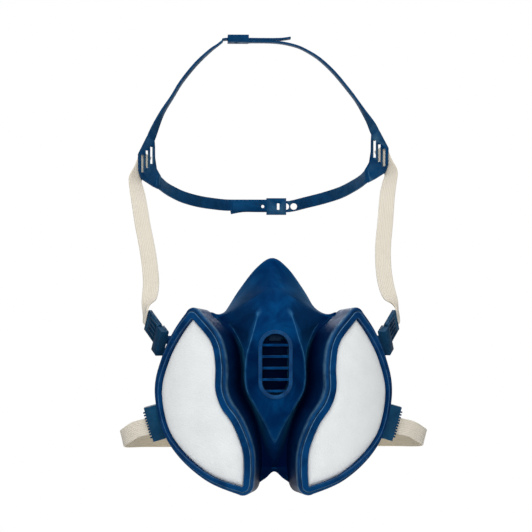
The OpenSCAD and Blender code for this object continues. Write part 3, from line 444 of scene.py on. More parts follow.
# Wear and a painted highlight along the panel's edges and the creases, fading out over the nose
panel_mark = ARC_WEAR_AND_HIGHLIGHT * (1 - panel_fade[:, 0]) * np.maximum(ramp(at, *PANEL_WEAR_AND_HIGHLIGHT), PANEL_WEAR_AND_HIGHLIGHT_LEAST)
crease_mark = ARC_WEAR_AND_HIGHLIGHT * np.minimum(ramp(at, *CREASE_WEAR_AND_HIGHLIGHT), CREASE_WEAR_AND_HIGHLIGHT_MOST)
beside = ramp(at, *BESIDE_VALVE)
chin = ramp(at, *AT_CHIN)
# Painted shade on the nose's sides, beside the panel, over the flank, down the channel walls and along the
# seal
nose_painted_shade = NOSE_SHADE * ramp(at, *NOSE_FROM) * (1 - beside)
upper_painted_shade = UPPER_SHADE * ramp(at, *UPPER_FROM) * ramp(at, *UPPER_TO)
panel_painted_shade = PANEL_SHADE * ramp(at, *PANEL_FROM) * ramp(at, *PANEL_TO)
flank_painted_shade = np.linspace(0.5, 1, FLANK_ROWS - 1)[:, None] * beside
channel_wall_painted_shade = np.maximum(np.linspace(1, 0.6, FLANK_ROWS)[:, None], chin) * beside
seal_painted_shade = np.linspace(1, 0.2, SEAL_ROWS)[:, None] * upper_painted_shade

# The cup's rings from the valve's tunnel over the front, round the lip and back up inside. Each stretch
# has its edge mark, for wear with a painted highlight, and its mark of painted shade
stretches = [
    (tunnel, 0, TUNNEL_SHADE),
    (mouth_arc, 0, panel_painted_shade),
    (between(mouth_arc[-1], panel_arc[0], 8), 0, panel_painted_shade),
    (panel_arc, panel_mark, panel_painted_shade / 2),
    (between(panel_arc[-1], crease_arc[0], 4), 0, nose_painted_shade + panel_painted_shade / 2),
    (crease_arc, crease_mark, nose_painted_shade + beside / 3),
    (flow(2 * flank_top - channel, flank_top, channel, bed, FLANK_ROWS)[1:], 0, nose_painted_shade + flank_painted_shade),
    (laid(flow(crease, channel, bed, cheek, FLANK_ROWS)), 0, np.maximum(nose_painted_shade, upper_painted_shade) + channel_wall_painted_shade),
    (laid(flow(channel, bed, cheek, seal, FLANK_ROWS)), 0, upper_painted_shade + CHIN_SHADE * chin),
    (flow(bed, cheek, seal, beyond, SEAL_ROWS), 0, seal_painted_shade),
    (along_curve(lip, np.linspace(0, 1, LIP_ROWS), cubic(bed, cheek, seal, beyond, 0.75)), LIP_WEAR_AND_HIGHLIGHT, 0),
    (np.stack([turned_in(*turn) for turn in LIP_UNDER]), 0, 0),
    (along_curve(inner, np.linspace(0, 1, INNER_ROWS)), 0, 0)]


def joined(stretches):
    """Stretches of rings as one grid of points, with the edge mark and the painted shade mark of each point.
    """
    grid = np.concatenate([rows for rows, _, _ in stretches])
    edge, painted_shade = [
        np.concatenate([np.broadcast_to(part[k], part[0].shape[:2]) for part in stretches]) for k in (1, 2)]
    return grid, {"edge": edge, "painted_shade": painted_shade}


def eased(rows, weight, first, last, passes):
    """Rows of points smoothed pass by pass: each moves towards the mean of its four neighbours by
    its weight."""
    for _ in range(passes):
        part = rows[first:last]
        mean = (rows[first - 1:last - 1] + rows[first + 1:last + 1]
                + np.roll(part, 1, 1) + np.roll(part, -1, 1)) / 4
        rows = np.concatenate([rows[:first], part + (mean - part) * weight, rows[last:]])
    return rows


# The nose's own rows, from the valve's opening to the seal, are smoothed into one cone
cup, cup_marks = joined(stretches)
nose_row, edge_row, seal_row = [sum(len(part[0]) for part in stretches[:k]) for k in (2, 4, 10)]
fades = [np.repeat(fade[None], rows, 0) for fade, rows in (
    (panel_fade, edge_row - nose_row - 1), (crease_fade, seal_row - edge_row))]
cup = eased(cup, np.concatenate(fades), nose_row + 1, seal_row, NOSE_PASSES)
facepiece = surface("facepiece_cup", cup, cup_marks, sharp=CUP_SHARP)
for side in (-1, 1):
    drill(facepiece, side, NECK_R + PORT_PLAY, PORT_REACH)
shade(facepiece.data, CUP_SHARP)
settle(facepiece, cup_rubber, "facepiece", "cup_rubber", "facepiece")

# Outlet valve: a moulded seat and a slatted grille snap into the panel's opening from both sides.
# Between them a thin silicone flap hangs on a bead and opens outwards with each breath.
VALVE_DEEP = (0.0020, 0.012, 0.040, 1)
VALVE_LIT = (0.0040, 0.026, 0.075, 1)
# Paler colour of wear and a painted highlight on the grille's edges
GRILLE_WEAR_AND_HIGHLIGHT = (0.15, 0.29, 0.40, 1)
SILICONE_LOW = (0.0002, 0.0004, 0.010, 1)
SILICONE_HIGH = (0.0004, 0.0008, 0.018, 1)
SLATS_FRONT, SLATS_DARK = -73, -71.5
CAD_SAME_PLACE, FLAT_TURN = 2e-6, 0.6
SHARP_EDGE, FULL_MARK = 32, 0.25


def mark_edges(mesh):
    """Edge mark on each vertex: how far its faces turn from its normal, where its neighbours lie below it."""
    size = len(mesh.vertices)
    place, normal = np.empty(size * 3, np.float32), np.empty(size * 3, np.float32)
    mesh.vertices.foreach_get("co", place)
    mesh.vertices.foreach_get("normal", normal)
    place, normal = place.reshape(-1, 3), normal.reshape(-1, 3)
    ends = np.empty(len(mesh.edges) * 2, np.int32)
    mesh.edges.foreach_get("vertices", ends)
    ends = ends.reshape(-1, 2)
    way = unit(place[ends[:, 1]] - place[ends[:, 0]])
    rise = np.zeros(size)
    np.add.at(rise, ends[:, 0], (way * normal[ends[:, 0]]).sum(1))
    np.add.at(rise, ends[:, 1], -(way * normal[ends[:, 1]]).sum(1))
    corner = np.empty(len(mesh.loops), np.int32)
    mesh.loops.foreach_get("vertex_index", corner)
    flat, count = np.empty(len(mesh.polygons) * 3, np.float32), np.empty(len(mesh.polygons), np.int32)
    mesh.polygons.foreach_get("normal", flat)
    mesh.polygons.foreach_get("loop_total", count)
    turn = np.zeros(size)
    np.maximum.at(turn, corner, 1 - (np.repeat(flat.reshape(-1, 3), count, 0) * normal[corner]).sum(1))
    layer = mesh.attributes.new("edge", "FLOAT", "POINT")
    layer.data.foreach_set("value", (np.clip(turn / FULL_MARK, 0, 1) * (rise < 0)).astype(np.float32))


def edged_copy(node, radius):
    """A copy of a CAD node, merged and with its flats joined, whose sharp edges get a small round."""
    mesh = bpy.data.meshes.new(node + "_moulding")
    tidy = bmesh.new()
    tidy.from_mesh(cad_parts[node].data)
    bmesh.ops.remove_doubles(tidy, verts=tidy.verts, dist=CAD_SAME_PLACE)
    bmesh.ops.dissolve_limit(tidy, angle_limit=math.radians(FLAT_TURN), verts=tidy.verts, edges=tidy.edges)
    tidy.to_mesh(mesh)
    tidy.free()
    if "custom_normal" in mesh.attributes:
        mesh.attributes.remove(mesh.attributes["custom_normal"])
    piece = bpy.data.objects.new(node + "_moulding", mesh)
    bpy.context.scene.collection.objects.link(piece)
    edge = piece.modifiers.new("edge", "BEVEL")
    edge.width, edge.segments, edge.limit_method = radius * MM, 2, "ANGLE"
    edge.angle_limit = math.radians(SHARP_EDGE)
    baked(piece)
    shade(piece.data, SHARP_EDGE)
    mark_edges(piece.data)
    return piece


valve_plastic = moulded("valve_plastic", VALVE_DEEP, VALVE_LIT, RUBBER_WEAR_AND_HIGHLIGHT, grain=2600.0, cloud=90.0,
                        rough=0.4, gloss=0.1, relief=0.12)
grille_rubber = moulded("grille_rubber", RUBBER_DEEP, RUBBER_NAVY, GRILLE_WEAR_AND_HIGHLIGHT, grain=2400.0, cloud=120.0,
                        rough=0.40, gloss=0.12, relief=0.12)
silicone = moulded("valve_silicone", SILICONE_LOW, SILICONE_HIGH, SILICONE_HIGH, grain=3200.0, cloud=140.0,
                   rough=0.38, gloss=0.1, relief=0.06)
settle(edged_copy("exhalation_seat", 0.25), valve_plastic, "facepiece", "valve_plastic", "exhalation_seat")
settle(edged_copy("exhalation_flap", 0.15), silicone, "exhalation_flap", "valve_silicone", "exhalation_flap")
grille = edged_copy("exhalation_grille", 0.3)
# Painted shade: the grille's colour darkens from the slats' front to the parts behind them
spots = np.empty(len(grille.data.vertices) * 3, np.float32)
grille.data.vertices.foreach_get("co", spots)
layer = grille.data.attributes.new("painted_shade", "FLOAT", "POINT")
depth = ramp(spots[1::3] / MM, SLATS_FRONT, SLATS_DARK)
layer.data.foreach_set("value", depth.astype(np.float32))
settle(grille, grille_rubber, "facepiece", "housing_plastic", "exhalation_grille")

# Filter housings: a leaf-shaped tray on each side, moulded in the cup's navy and bonded to its cheek.
# The wall slants back from a rounded rim to the cup, and a round port opens into the cup behind it.
SIDES = ((-1, "left"), (1, "right"))
POD_R = 67
EDGE, RIM_W, LAY = 0.8, 6.5, 0.1
FRAME_W, FRAME_T, FRAME_TOP = 4.1, 3.3, 0.9
RIM_IN, RIM_OUT = EDGE + FRAME_W + LAY, EDGE + RIM_W
SHELF_LOW, SHELF_IN = FRAME_TOP - FRAME_T - LAY, EDGE + 1.4
HOUSING_WALL, PORT_WALL = 1.6, 1.4
BOW, BOW_Z, BOW_REACH = 6, -20, 50
LEAN, LEAN_MORE, LEAN_X = 0.15, 0.23, (8, 26)
WALL_FALL, FALL_Z = 0.09, (20, 30)
WALL_DEPTH, WALL_PASSES = 20.0, 8
BEAD_LOW, BEAD_TILT, BEAD_HIGH, BEAD_POWER = -1.3, 0.7, 1.45, 0.8
BEAD_WEAR_AND_HIGHLIGHT, BEAD_WEAR_AND_HIGHLIGHT_POWER = 0.75, 3
FACING, FACING_Z = (0, -2 / 3), (24, 16)
LEAF_SIDE, LEAF_TIP, BEAD_ROWS, WALL_ROWS = 96, 12, 13, 6
BACK_SHARES = (0, 0.25, 0.5, 0.75)
LEAF_STEP = 0.01
LEAF_MIDDLE = np.array([40.0, -20.0])
LEAF_OUTER = np.array([
    [38.4, 28.2], [48.2, 17.5], [58.4, 3.3], [65.5, -14.3], [59.6, -34.2], [46.4, -48], [26.4, -61],
    [7.8, -67.4]])
LEAF_INNER = np.array([
    [7.8, -67.4], [7.3, -57.5], [8.2, -46.3], [13.6, -32.4], [20.8, -21.9], [24.2, -11.5], [24.2, 2.3],
    [27, 15.6], [38.4, 28.2]])
OUTER_SHARE = np.array([0.85, 0.83, 0.76, 0.79, 0.48, 0.57, 0.67, 0.78])
INNER_SHARE = np.array([0.95, 1, 1, 1, 1, 1, 1, 0.95, 0.95])
LOW_TIP_SHARE = (0.78, 0.88, 0.95)
HIGH_TIP_SHARE = (0.95, 1.0, 0.85)
HOUSING_DEEP = (0.0006, 0.0180, 0.076, 1)
HOUSING_NAVY = (0.0020, 0.0400, 0.140, 1)
# Paler colour of wear and a painted highlight on the housings' rims and the studs
HOUSING_WEAR_AND_HIGHLIGHT = (0.10, 0.22, 0.34, 1)


def heading(points, share, step):
    """Direction of a curve at shares of it, from the places a small step before and after."""
    after, before = np.minimum(share + step, 1), np.maximum(share - step, 0)
    return unit(along_curve(points, after) - along_curve(points, before))


def leaf_side(points, shares):
    """One side of the leaf: places on its curve, the outward way square to it, and the rim's share there."""
    s = np.linspace(0, 1, LEAF_SIDE + 1)
    way = heading(points, s, LEAF_STEP)
    return along_curve(points, s), np.stack([-way[:, 1], way[:, 0]], -1), along_curve(shares, s)


def leaf_tip(place, before, after, share):
    """A tip of the leaf: one place, whose outward way turns from one side's to the next, and the
    rim's shares."""
    t = np.linspace(0, 1, LEAF_TIP + 2)[1:-1]
    ways = unit(before + (after - before) * t[:, None])
    return np.repeat(place[None], LEAF_TIP, 0), ways, np.interp(t, (0, 0.5, 1), share)


outer_leaf, inner_leaf = leaf_side(LEAF_OUTER, OUTER_SHARE), leaf_side(LEAF_INNER, INNER_SHARE)
low_tip = leaf_tip(LEAF_OUTER[-1], outer_leaf[1][-1], inner_leaf[1][0], LOW_TIP_SHARE)
high_tip = leaf_tip(LEAF_INNER[-1], inner_leaf[1][-1], outer_leaf[1][0], HIGH_TIP_SHARE)
leaf_place, leaf_way, leaf_share = [
    np.concatenate(parts) for parts in zip(outer_leaf, low_tip, inner_leaf, high_tip)]


def wrapped(flat, height):
    """The flat leaf on an upright cylinder, at a height above the filter's face; its ends curve back
    by a square."""
    turn, z = flat[..., 0] / POD_R, flat[..., 1]
    reach = POD_R + height
    bow = BOW * ((z - BOW_Z) / BOW_REACH) ** 2
    return np.stack([POD_X + reach * np.sin(turn), POD_Y - reach * np.cos(turn) + bow, z], -1)


def leaf_ring(grow, height, share=1.0):
    """The leaf grown outwards, past its edge by the rim's share, then shrunk about its middle and wrapped."""
    past = min(grow, EDGE) + max(grow - EDGE, 0) * leaf_share[:, None]
    flat = leaf_place + past * leaf_way
    return wrapped(LEAF_MIDDLE + (flat - LEAF_MIDDLE) * share, height)


def dropped(ring, ahead):
    """A ring carried back along the slanted wall, which also falls at the top, to the surface behind it."""
    x, y, z = ring[:, 0], ring[:, 1], ring[:, 2]
    lean = LEAN + LEAN_MORE * ramp(x, *LEAN_X)
    depth = np.full(len(x), WALL_DEPTH)
    for _ in range(WALL_PASSES):
        depth = back_y(x - lean * depth, ahead) - y
    return np.stack([x - lean * depth, y + depth, z - WALL_FALL * depth * ramp(z, *FALL_Z)], -1)


def port_ring(ring, share, ahead):
    """A ring on the surface behind the housing, at a share of the way from the port to a ring."""
    turn, radius = math.radians(PORT_TURN), NECK_R + PORT_WALL
    middle = np.array([POD_X + (BACK_R + ahead) * math.sin(turn), PORT_Z])
    flat = ring[:, [0, 2]]
    hole = middle + unit(flat - middle) * radius * np.array([math.cos(turn), 1])
    spot = hole + (flat - hole) * share
    return np.stack([spot[:, 0], back_y(spot[:, 0], ahead), spot[:, 1]], -1)


def on_side(points, side):
    """Points made for the right side, or their mirror image for the left."""
    return points * np.array([side, 1, 1])


housing_rubber = moulded("housing_rubber", HOUSING_DEEP, HOUSING_NAVY, HOUSING_WEAR_AND_HIGHLIGHT, grain=2100.0,
                         cloud=70.0, rough=0.44, gloss=0.2, relief=0.16)
bead = np.linspace(0, math.pi, BEAD_ROWS)
bead_grow = (RIM_IN + RIM_OUT) / 2 + np.cos(bead) * (RIM_OUT - RIM_IN) / 2
bead_height = BEAD_LOW + BEAD_TILT * bead / math.pi + BEAD_HIGH * np.sin(bead) ** BEAD_POWER
# Wear and a painted highlight on both edges of the rim's bead
bead_mark = BEAD_WEAR_AND_HIGHLIGHT * np.abs(np.cos(bead))[:, None] ** BEAD_WEAR_AND_HIGHLIGHT_POWER
rim_rows = np.stack([leaf_ring(g, h) for g, h in zip(bead_grow, bead_height)])
wall_foot = dropped(leaf_ring(RIM_OUT, 0), 0)
shelf = leaf_ring(SHELF_IN, SHELF_LOW)
tray_foot = dropped(shelf, HOUSING_WALL)
# Painted shade on the walls that face in towards the nose below the housing's top, darkest at the wall's foot
inward_painted_shade = ramp(leaf_way[:, 0], *FACING) * ramp(leaf_place[:, 1], *FACING_Z)
tray_wall_painted_shade = np.linspace(1, 0.55, WALL_ROWS)[:, None] * inward_painted_shade
housing, housing_marks = joined([
    (wall_foot[None], 0, inward_painted_shade),
    (between(wall_foot, rim_rows[0], WALL_ROWS), 0, tray_wall_painted_shade),
    (rim_rows, bead_mark, 0),
    (np.stack([leaf_ring(RIM_IN, SHELF_LOW), shelf, tray_foot]), 0, 0),
    (np.stack([port_ring(tray_foot, t, HOUSING_WALL) for t in BACK_SHARES[::-1]]), 0, 0),
    (np.stack([port_ring(wall_foot, t, 0) for t in BACK_SHARES]), 0, 0)])
for side, end in SIDES:
    tray = surface("filter_tray_" + end, on_side(housing, side), housing_marks)
    settle(tray, housing_rubber, "facepiece", "housing_plastic", "filter_housing_" + end)

# Carbon beds: black granules pressed into one block for each tray. They lie behind the mats, which
# hide them, and the tray's floor carries them.
CARBON_LOW = (0.004, 0.004, 0.005, 1)
CARBON_HIGH = (0.030, 0.031, 0.034, 1)
carbon, tree, shader = new_finish("carbon_granules")
grains = put(tree, "TexVoronoi", Vector=put(tree, "TexCoord").outputs["Object"], Scale=900.0)
lumps = put(tree, "Bump", Strength=0.8, Distance=0.0006, Height=grains.outputs["Distance"], invert=True)
tree.links.new(tint(tree, grains.outputs["Distance"], CARBON_HIGH, CARBON_LOW), shader.inputs["Base Color"])
tree.links.new(spread(tree, grains.outputs["Distance"], 0, 0.7, 0.45, 0.85), shader.inputs["Roughness"])
tree.links.new(lumps.outputs[0], shader.inputs["Normal"])
for end in ("left", "right"):
    bed_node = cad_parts["carbon_bed_" + end]
    bed_node.data.materials.clear()
    bed_node.data.materials.append(carbon)

# Filter mats: off-white needled felt, cut to the leaf and laid over the carbon. The face is slightly
# crowned and dips under the frame all round.
MAT_T = 3.4
MAT_LOW = SHELF_LOW - MAT_T
MAT_GROW, LIP_GROW, FACE_GROW = EDGE + 0.8, EDGE - 0.3, EDGE - 0.4
MAT_UNDER = (0, 0.3, 0.6, 0.85)
FACE_LOW = -1.95
CROWN_ROWS, CROWN_OUT = 30, 0.985
CROWN_TOP, CROWN_DIP, CROWN_POWER = -0.38, 1.35, 7
FELT_WHITE = (0.80, 0.825, 0.83, 1)
FELT_SHADE = (0.70, 0.73, 0.74, 1)
felt, tree, shader = new_finish("filter_felt")
place = put(tree, "TexCoord").outputs["Object"]
lint = put(tree, "TexNoise", Vector=place, Scale=1500.0, Detail=4, Roughness=0.7, Distortion=1.2)
strand = put(tree, "TexWave", Vector=place, Scale=420.0, Distortion=14.0, Detail=3, wave_type="BANDS",
             bands_direction="DIAGONAL")
cloud = put(tree, "TexNoise", Vector=place, Scale=70.0, Detail=4, Roughness=0.6)
fibres = reckon(tree, "MULTIPLY_ADD", strand.outputs["Fac"], 0.35, lint.outputs[0])
tone = reckon(tree, "MULTIPLY_ADD", cloud.outputs[0], 0.5, reckon(tree, "MULTIPLY", fibres, 0.45))
pile = put(tree, "Bump", Strength=0.35, Distance=0.0003, Height=fibres)
felted = tint(tree, spread(tree, tone, 0.25, 0.75), FELT_SHADE, FELT_WHITE)
tree.links.new(felted, shader.inputs["Base Color"])
tree.links.new(spread(tree, fibres, 0, 1.3, 0.98, 0.86), shader.inputs["Roughness"])
tree.links.new(pile.outputs[0], shader.inputs["Normal"])
shader.inputs["Specular IOR Level"].default_value = 0.15
shader.inputs["Sheen Weight"].default_value = 0.12
crown = np.linspace(CROWN_OUT, 0, CROWN_ROWS)
mat_rows = np.stack([
    *[leaf_ring(MAT_GROW, MAT_LOW, share) for share in MAT_UNDER],
    *[leaf_ring(MAT_GROW, height) for height in (MAT_LOW, MAT_LOW + MAT_T / 2, SHELF_LOW)],
    leaf_ring(LIP_GROW, SHELF_LOW), leaf_ring(FACE_GROW, FACE_LOW),
    *[leaf_ring(FACE_GROW, CROWN_TOP - CROWN_DIP * share ** CROWN_POWER, share) for share in crown]])
for side, end in SIDES:
    mat = surface("filter_mat_" + end, on_side(mat_rows, side), {}, sharp=60, closed=False)
    settle(mat, felt, "facepiece", "filter_felt", "prefilter_" + end)

# Filter frames: moulded rings that clip inside the trays' rims and hold the mats down.
# Their face is a flat band whose rounded edges catch the light, and carry a painted highlight with wear.
FRAME_ROUND, FRAME_DIP = 0.55, 0.12
FACE_ROWS = 9
# Wear and a painted highlight across the frame's outer and inner rounds
OUTER_WEAR_AND_HIGHLIGHT, INNER_WEAR_AND_HIGHLIGHT = (0, 0, 0.6, 1.0, 0.6, 0), (0, 0, 0.3, 0.5, 0.3, 0)
FRAME_WEAR_AND_HIGHLIGHT = (0.11, 0.23, 0.36, 1)
frame_plastic = moulded("frame_plastic", HOUSING_DEEP, HOUSING_NAVY, FRAME_WEAR_AND_HIGHLIGHT, grain=2100.0, cloud=80.0,
                        rough=0.38, gloss=0.25, relief=0.14)
round_in, round_out = EDGE + FRAME_ROUND, EDGE + FRAME_W - FRAME_ROUND
round_low = FRAME_TOP - FRAME_ROUND
quarter = np.linspace(0, math.pi / 2, len(OUTER_WEAR_AND_HIGHLIGHT))
level, rise = FRAME_ROUND * np.cos(quarter), FRAME_ROUND * np.sin(quarter)
outer_arc = np.stack([round_out + level, round_low + rise], -1)
inner_arc = np.stack([round_in - rise, round_low + level], -1)
face_grow = np.linspace(round_out, round_in, FACE_ROWS)[1:-1]
face_dip = FRAME_TOP - FRAME_DIP * np.sin(np.linspace(0, math.pi, FACE_ROWS)[1:-1])
section = np.concatenate([[[EDGE, SHELF_LOW + LAY], [EDGE + FRAME_W, SHELF_LOW + LAY]], outer_arc,
                          np.stack([face_grow, face_dip], -1), inner_arc])
frame_rows = np.stack([leaf_ring(g, h) for g, h in section])
frame_mark = np.concatenate([[0, 0], OUTER_WEAR_AND_HIGHLIGHT, np.zeros(len(face_grow)), INNER_WEAR_AND_HIGHLIGHT])
for side, end in SIDES:
    band = surface("filter_rim_" + end, on_side(frame_rows, side),
                   {"edge": np.broadcast_to(frame_mark[:, None], frame_rows.shape[:2])})
    settle(band, frame_plastic, "facepiece", "housing_plastic", "filter_frame_" + end)

# Inlet valves: a moulded seat is pressed through the cup into each tray, and a silicone disc
# slides on its stem and lifts off the seat with each breath in.
for end in ("left", "right"):
    settle(edged_copy("inhalation_seat_" + end, 0.2), valve_plastic, "facepiece", "valve_plastic",
           "inhalation_seat_" + end)
    settle(edged_copy("inhalation_flap_" + end, 0.12), silicone, "inhalation_flap_" + end, "valve_silicone",
           "inhalation_flap_" + end)

# Studs and buckles: studs pressed into the trays' outer walls, and moulded plastic buckles that turn on
# them. The upper pair has ribbed plates, the lower pair a row of fine teeth along its outer edge.
BUCKLE_DEEP = (0.0007, 0.0190, 0.056, 1)
BUCKLE_TEAL = (0.0020, 0.0380, 0.098, 1)
# Paler colour of wear and a painted highlight on the edges of the buckles, clasp and cradle
BUCKLE_WEAR_AND_HIGHLIGHT = (0.060, 0.150, 0.235, 1)
buckle_plastic = moulded("buckle_plastic", BUCKLE_DEEP, BUCKLE_TEAL, BUCKLE_WEAR_AND_HIGHLIGHT, grain=2600.0,
                         cloud=110.0, rough=0.36, gloss=0.25, relief=0.10)
for end in ("left", "right"):
    for level in ("upper", "lower"):
        settle(edged_copy(f"{level}_stud_{end}", 0.3), housing_rubber, "facepiece", "housing_plastic",
               f"{level}_stud_{end}")
    settle(edged_copy("upper_buckle_" + end, 0.35), buckle_plastic, "harness", "buckle_plastic",
           "upper_buckle_" + end)
    settle(edged_copy("lower_buckle_" + end, 0.25), buckle_plastic, "neck_strap", "buckle_plastic",
           "lower_buckle_" + end)

# Head cradle: two thin halves moulded in tough blue plastic. Each has a slotted plate over the ear, a crown
# band and a rear band, and its tongues with rows of holes slide through the other half's keepers.
CRADLE_DEEP = (0.0006, 0.0220, 0.080, 1)
CRADLE_BLUE = (0.0014, 0.0400, 0.128, 1)
cradle_plastic = moulded("cradle_plastic", CRADLE_DEEP, CRADLE_BLUE, BUCKLE_WEAR_AND_HIGHLIGHT, grain=2800.0, cloud=60.0,
                         rough=0.42, gloss=0.16, relief=0.08, sheen=0.14)
for body, end in (("harness", "left"), ("cradle_right", "right")):
    settle(edged_copy("cradle_" + end, 0.25), cradle_plastic, body, "cradle_plastic", "cradle_" + end)

# Straps: cream woven elastic webbing. The upper pair runs from the buckles' bars to the cradle's plates,
# and the neck pair from the lower buckles back to the clasp.
STRAP_W, STRAP_T = 10.0, 1.0
STRAP_ROWS, STRAP_FLAT, STRAP_BEND = 10, 9, 7
STRAP_STEP = 0.002
STRAP_SWAY = 1.7
UPPER_FREE, NECK_FREE = (2, 10), (1, 9)
PLATE_ROOT, PLATE_L = np.array([69.6, -40, 20]), 15
PLATE_ALONG = unit(np.array([6.65, 14, 8.5]))
PLATE_WIDTH = np.array([0.217, 0.43, -0.877])
PLATE_ACROSS = unit(PLATE_WIDTH - PLATE_ALONG * (PLATE_WIDTH @ PLATE_ALONG))
BAR_AHEAD = 1.6
LOWER_MIDDLE, LOWER_TILT = np.array([71.5, -38, -34.5]), math.radians(16)
LOWER_OUT = np.array([math.cos(LOWER_TILT), 0, -math.sin(LOWER_TILT)])
LOWER_UP = np.array([math.sin(LOWER_TILT), 0, math.cos(LOWER_TILT)])
JAW_BACK, JAW_LOW = 2.2, 1.0
LADDER_TURN, LADDER_FRONT = math.radians(50), (83.8, 66.8)
LIE_BACK, LIE_LOW = 0.9, -0.44
RIGHT_SHIFT, SHIFT_STATIONS = np.array([-3.3, 0, 4.4]), (4, 10)
CLASP_Y, CLASP_Z = 104, -58
UPRIGHT = (0, 0, 1)
CORD_PITCH, PICK_PITCH = 0.0011, 0.00075
CREAM = (0.74, 0.70, 0.61, 1)
CREAM_SHADE = (0.62, 0.56, 0.46, 1)
# Painted shade: the warmer, darker cream of the strap's back face, which lies in shade
CREAM_PAINTED_SHADE = (0.72, 0.61, 0.42, 1)


def beside_plate(back, out, z):
    """A place beside the slotted plate: back from its front edge, out from its middle plane, and a height."""
    s, c = math.sin(LADDER_TURN), math.cos(LADDER_TURN)
    return [LADDER_FRONT[0] - back * s + out * c, LADDER_FRONT[1] + back * c + out * s, z]


upper_bar = PLATE_ROOT + PLATE_ALONG * (PLATE_L + BAR_AHEAD)
jaw = LOWER_MIDDLE - LOWER_UP * JAW_LOW + np.array([0, JAW_BACK, 0])
on_plate = (-LIE_BACK * math.sin(LADDER_TURN), LIE_BACK * math.cos(LADDER_TURN), LIE_LOW)
upper_route = [
    (upper_bar + [-1.6, 0.4, 0], -PLATE_ACROSS), (upper_bar + [0.9, 1.6, 1], -PLATE_ACROSS),
    ([76.3, -20.5, 33.6], (-0.45, -0.25, 0.85)), ([74, -14, 40], (-0.95, -0.1, 0.3)),
    ([72.7, -5, 49], (-1, 0, 0)), ([73.3, 6, 59], (-1, 0, 0)), ([75.2, 19.5, 71], (-1, 0, 0)),
    ([78.6, 35, 86], (-1, 0, 0)), ([82, 54, 102], (-1, 0.1, 0)), ([84.3, 63, 110.4], (-0.95, 0.3, -0.15)),
    (beside_plate(-1.2, 1.8, 116.6), (-0.8, 0.5, -0.3)), (beside_plate(2.2, 1.5, 123), on_plate),
    (beside_plate(5.4, 1.45, 129.5), on_plate), (beside_plate(7.4, 1.45, 133.6), on_plate)]
shift = ramp(np.arange(len(upper_route)), *SHIFT_STATIONS)[:, None] * RIGHT_SHIFT
right_route = [(np.array(spot) + by, way) for (spot, way), by in zip(upper_route, shift)]
neck_route = [
    (jaw - LOWER_OUT * 0.2, LOWER_UP), (jaw + LOWER_OUT * 5.5, LOWER_UP),
    ([83.5, -33.4, -39], (0.27, 0, 0.96)), ([89.6, -26.5, -43], (0.27, 0, 1)),
    ([92.4, -17, -45.4], (0.26, 0, 1)), ([92.4, -6, -47], (0.18, 0, 1)), ([89.5, 12, -49], (0.06, 0, 1)),
    ([80, 45, -52], UPRIGHT), ([59, 80, -55.5], UPRIGHT), ([34, 99, -57.5], UPRIGHT),
    ([12.5, CLASP_Y, CLASP_Z], UPRIGHT)]


def webbing_strip(route, sway, first, last):
    """A flat strip with half-round edges carried along a curve through the route's places. Its width lies
    along the route's ways, made square to the curve, and between two stations it hangs aside by half a
    sine wave."""
    path = np.array([place for place, _ in route], float)
    lies = np.array([way for _, way in route], float)
    path[:, 0] += sway * np.sin(math.pi * ramp(np.arange(len(route)), first, last))
    s = np.linspace(0, 1, (len(route) - 1) * STRAP_ROWS + 1)
    line = along_curve(path, s)
    ahead = heading(path, s, STRAP_STEP)
    raw = along_curve(lies, s)
    across = unit(raw - ahead * (raw * ahead).sum(1, keepdims=True))
    up = np.cross(ahead, across)
    half, thick = STRAP_W / 2, STRAP_T / 2
    flat = np.linspace(half - thick, thick - half, STRAP_FLAT)
    bend = np.linspace(math.pi / 2, -math.pi / 2, STRAP_BEND)[1:-1]
    bulge, level = half - thick + thick * np.cos(bend), np.full(STRAP_FLAT, thick)
    width = np.concatenate([flat, -bulge, -flat, bulge])
    rise = np.concatenate([level, thick * np.sin(bend), -level, -thick * np.sin(bend)])
    rows = line[:, None] + width[None, :, None] * across[:, None] + rise[None, :, None] * up[:, None]
    rows = np.concatenate([np.broadcast_to(line[0], rows[:1].shape), rows,
                           np.broadcast_to(line[-1], rows[:1].shape)])
    run = np.concatenate([[0], np.cumsum(np.linalg.norm(np.diff(line, axis=0), axis=1))]) * MM
    run = np.concatenate([run[:1], run, run[-1:]])
    shape = rows.shape[:2]
    marks = {"across": np.broadcast_to(width * MM, shape), "run": np.broadcast_to(run[:, None], shape),
             "face": np.broadcast_to(np.clip(rise / thick, -1, 1) * 0.5 + 0.5, shape)}
    return rows, marks


webbing, tree, shader = new_finish("elastic_webbing")
across, run, face = [
    put(tree, "Attribute", attribute_name=name).outputs["Fac"] for name in ("across", "run", "face")]
place = put(tree, "TexCoord").outputs["Object"]
cord = reckon(tree, "SINE", reckon(tree, "MULTIPLY", across, 2 * math.pi / CORD_PITCH))
pick = reckon(tree, "SINE", reckon(tree, "MULTIPLY", run, 2 * math.pi / PICK_PITCH))
crossing = reckon(tree, "MULTIPLY", cord, pick)
weave = reckon(tree, "MULTIPLY_ADD", crossing, 0.35, reckon(tree, "MULTIPLY", cord, 0.5))
yarn = put(tree, "TexNoise", Vector=place, Scale=1800.0, Detail=3, Roughness=0.6)
soil = put(tree, "TexNoise", Vector=place, Scale=45.0, Detail=4, Roughness=0.6)
relief = reckon(tree, "ADD", weave, yarn.outputs[0])
lit = tint(tree, spread(tree, relief, -0.2, 1.1), CREAM_SHADE, CREAM)
aged = tint(tree, spread(tree, soil.outputs[0], 0.45, 0.8, 0, 0.35), lit, CREAM_SHADE)
bump = put(tree, "Bump", Strength=0.45, Distance=0.00025, Height=relief)
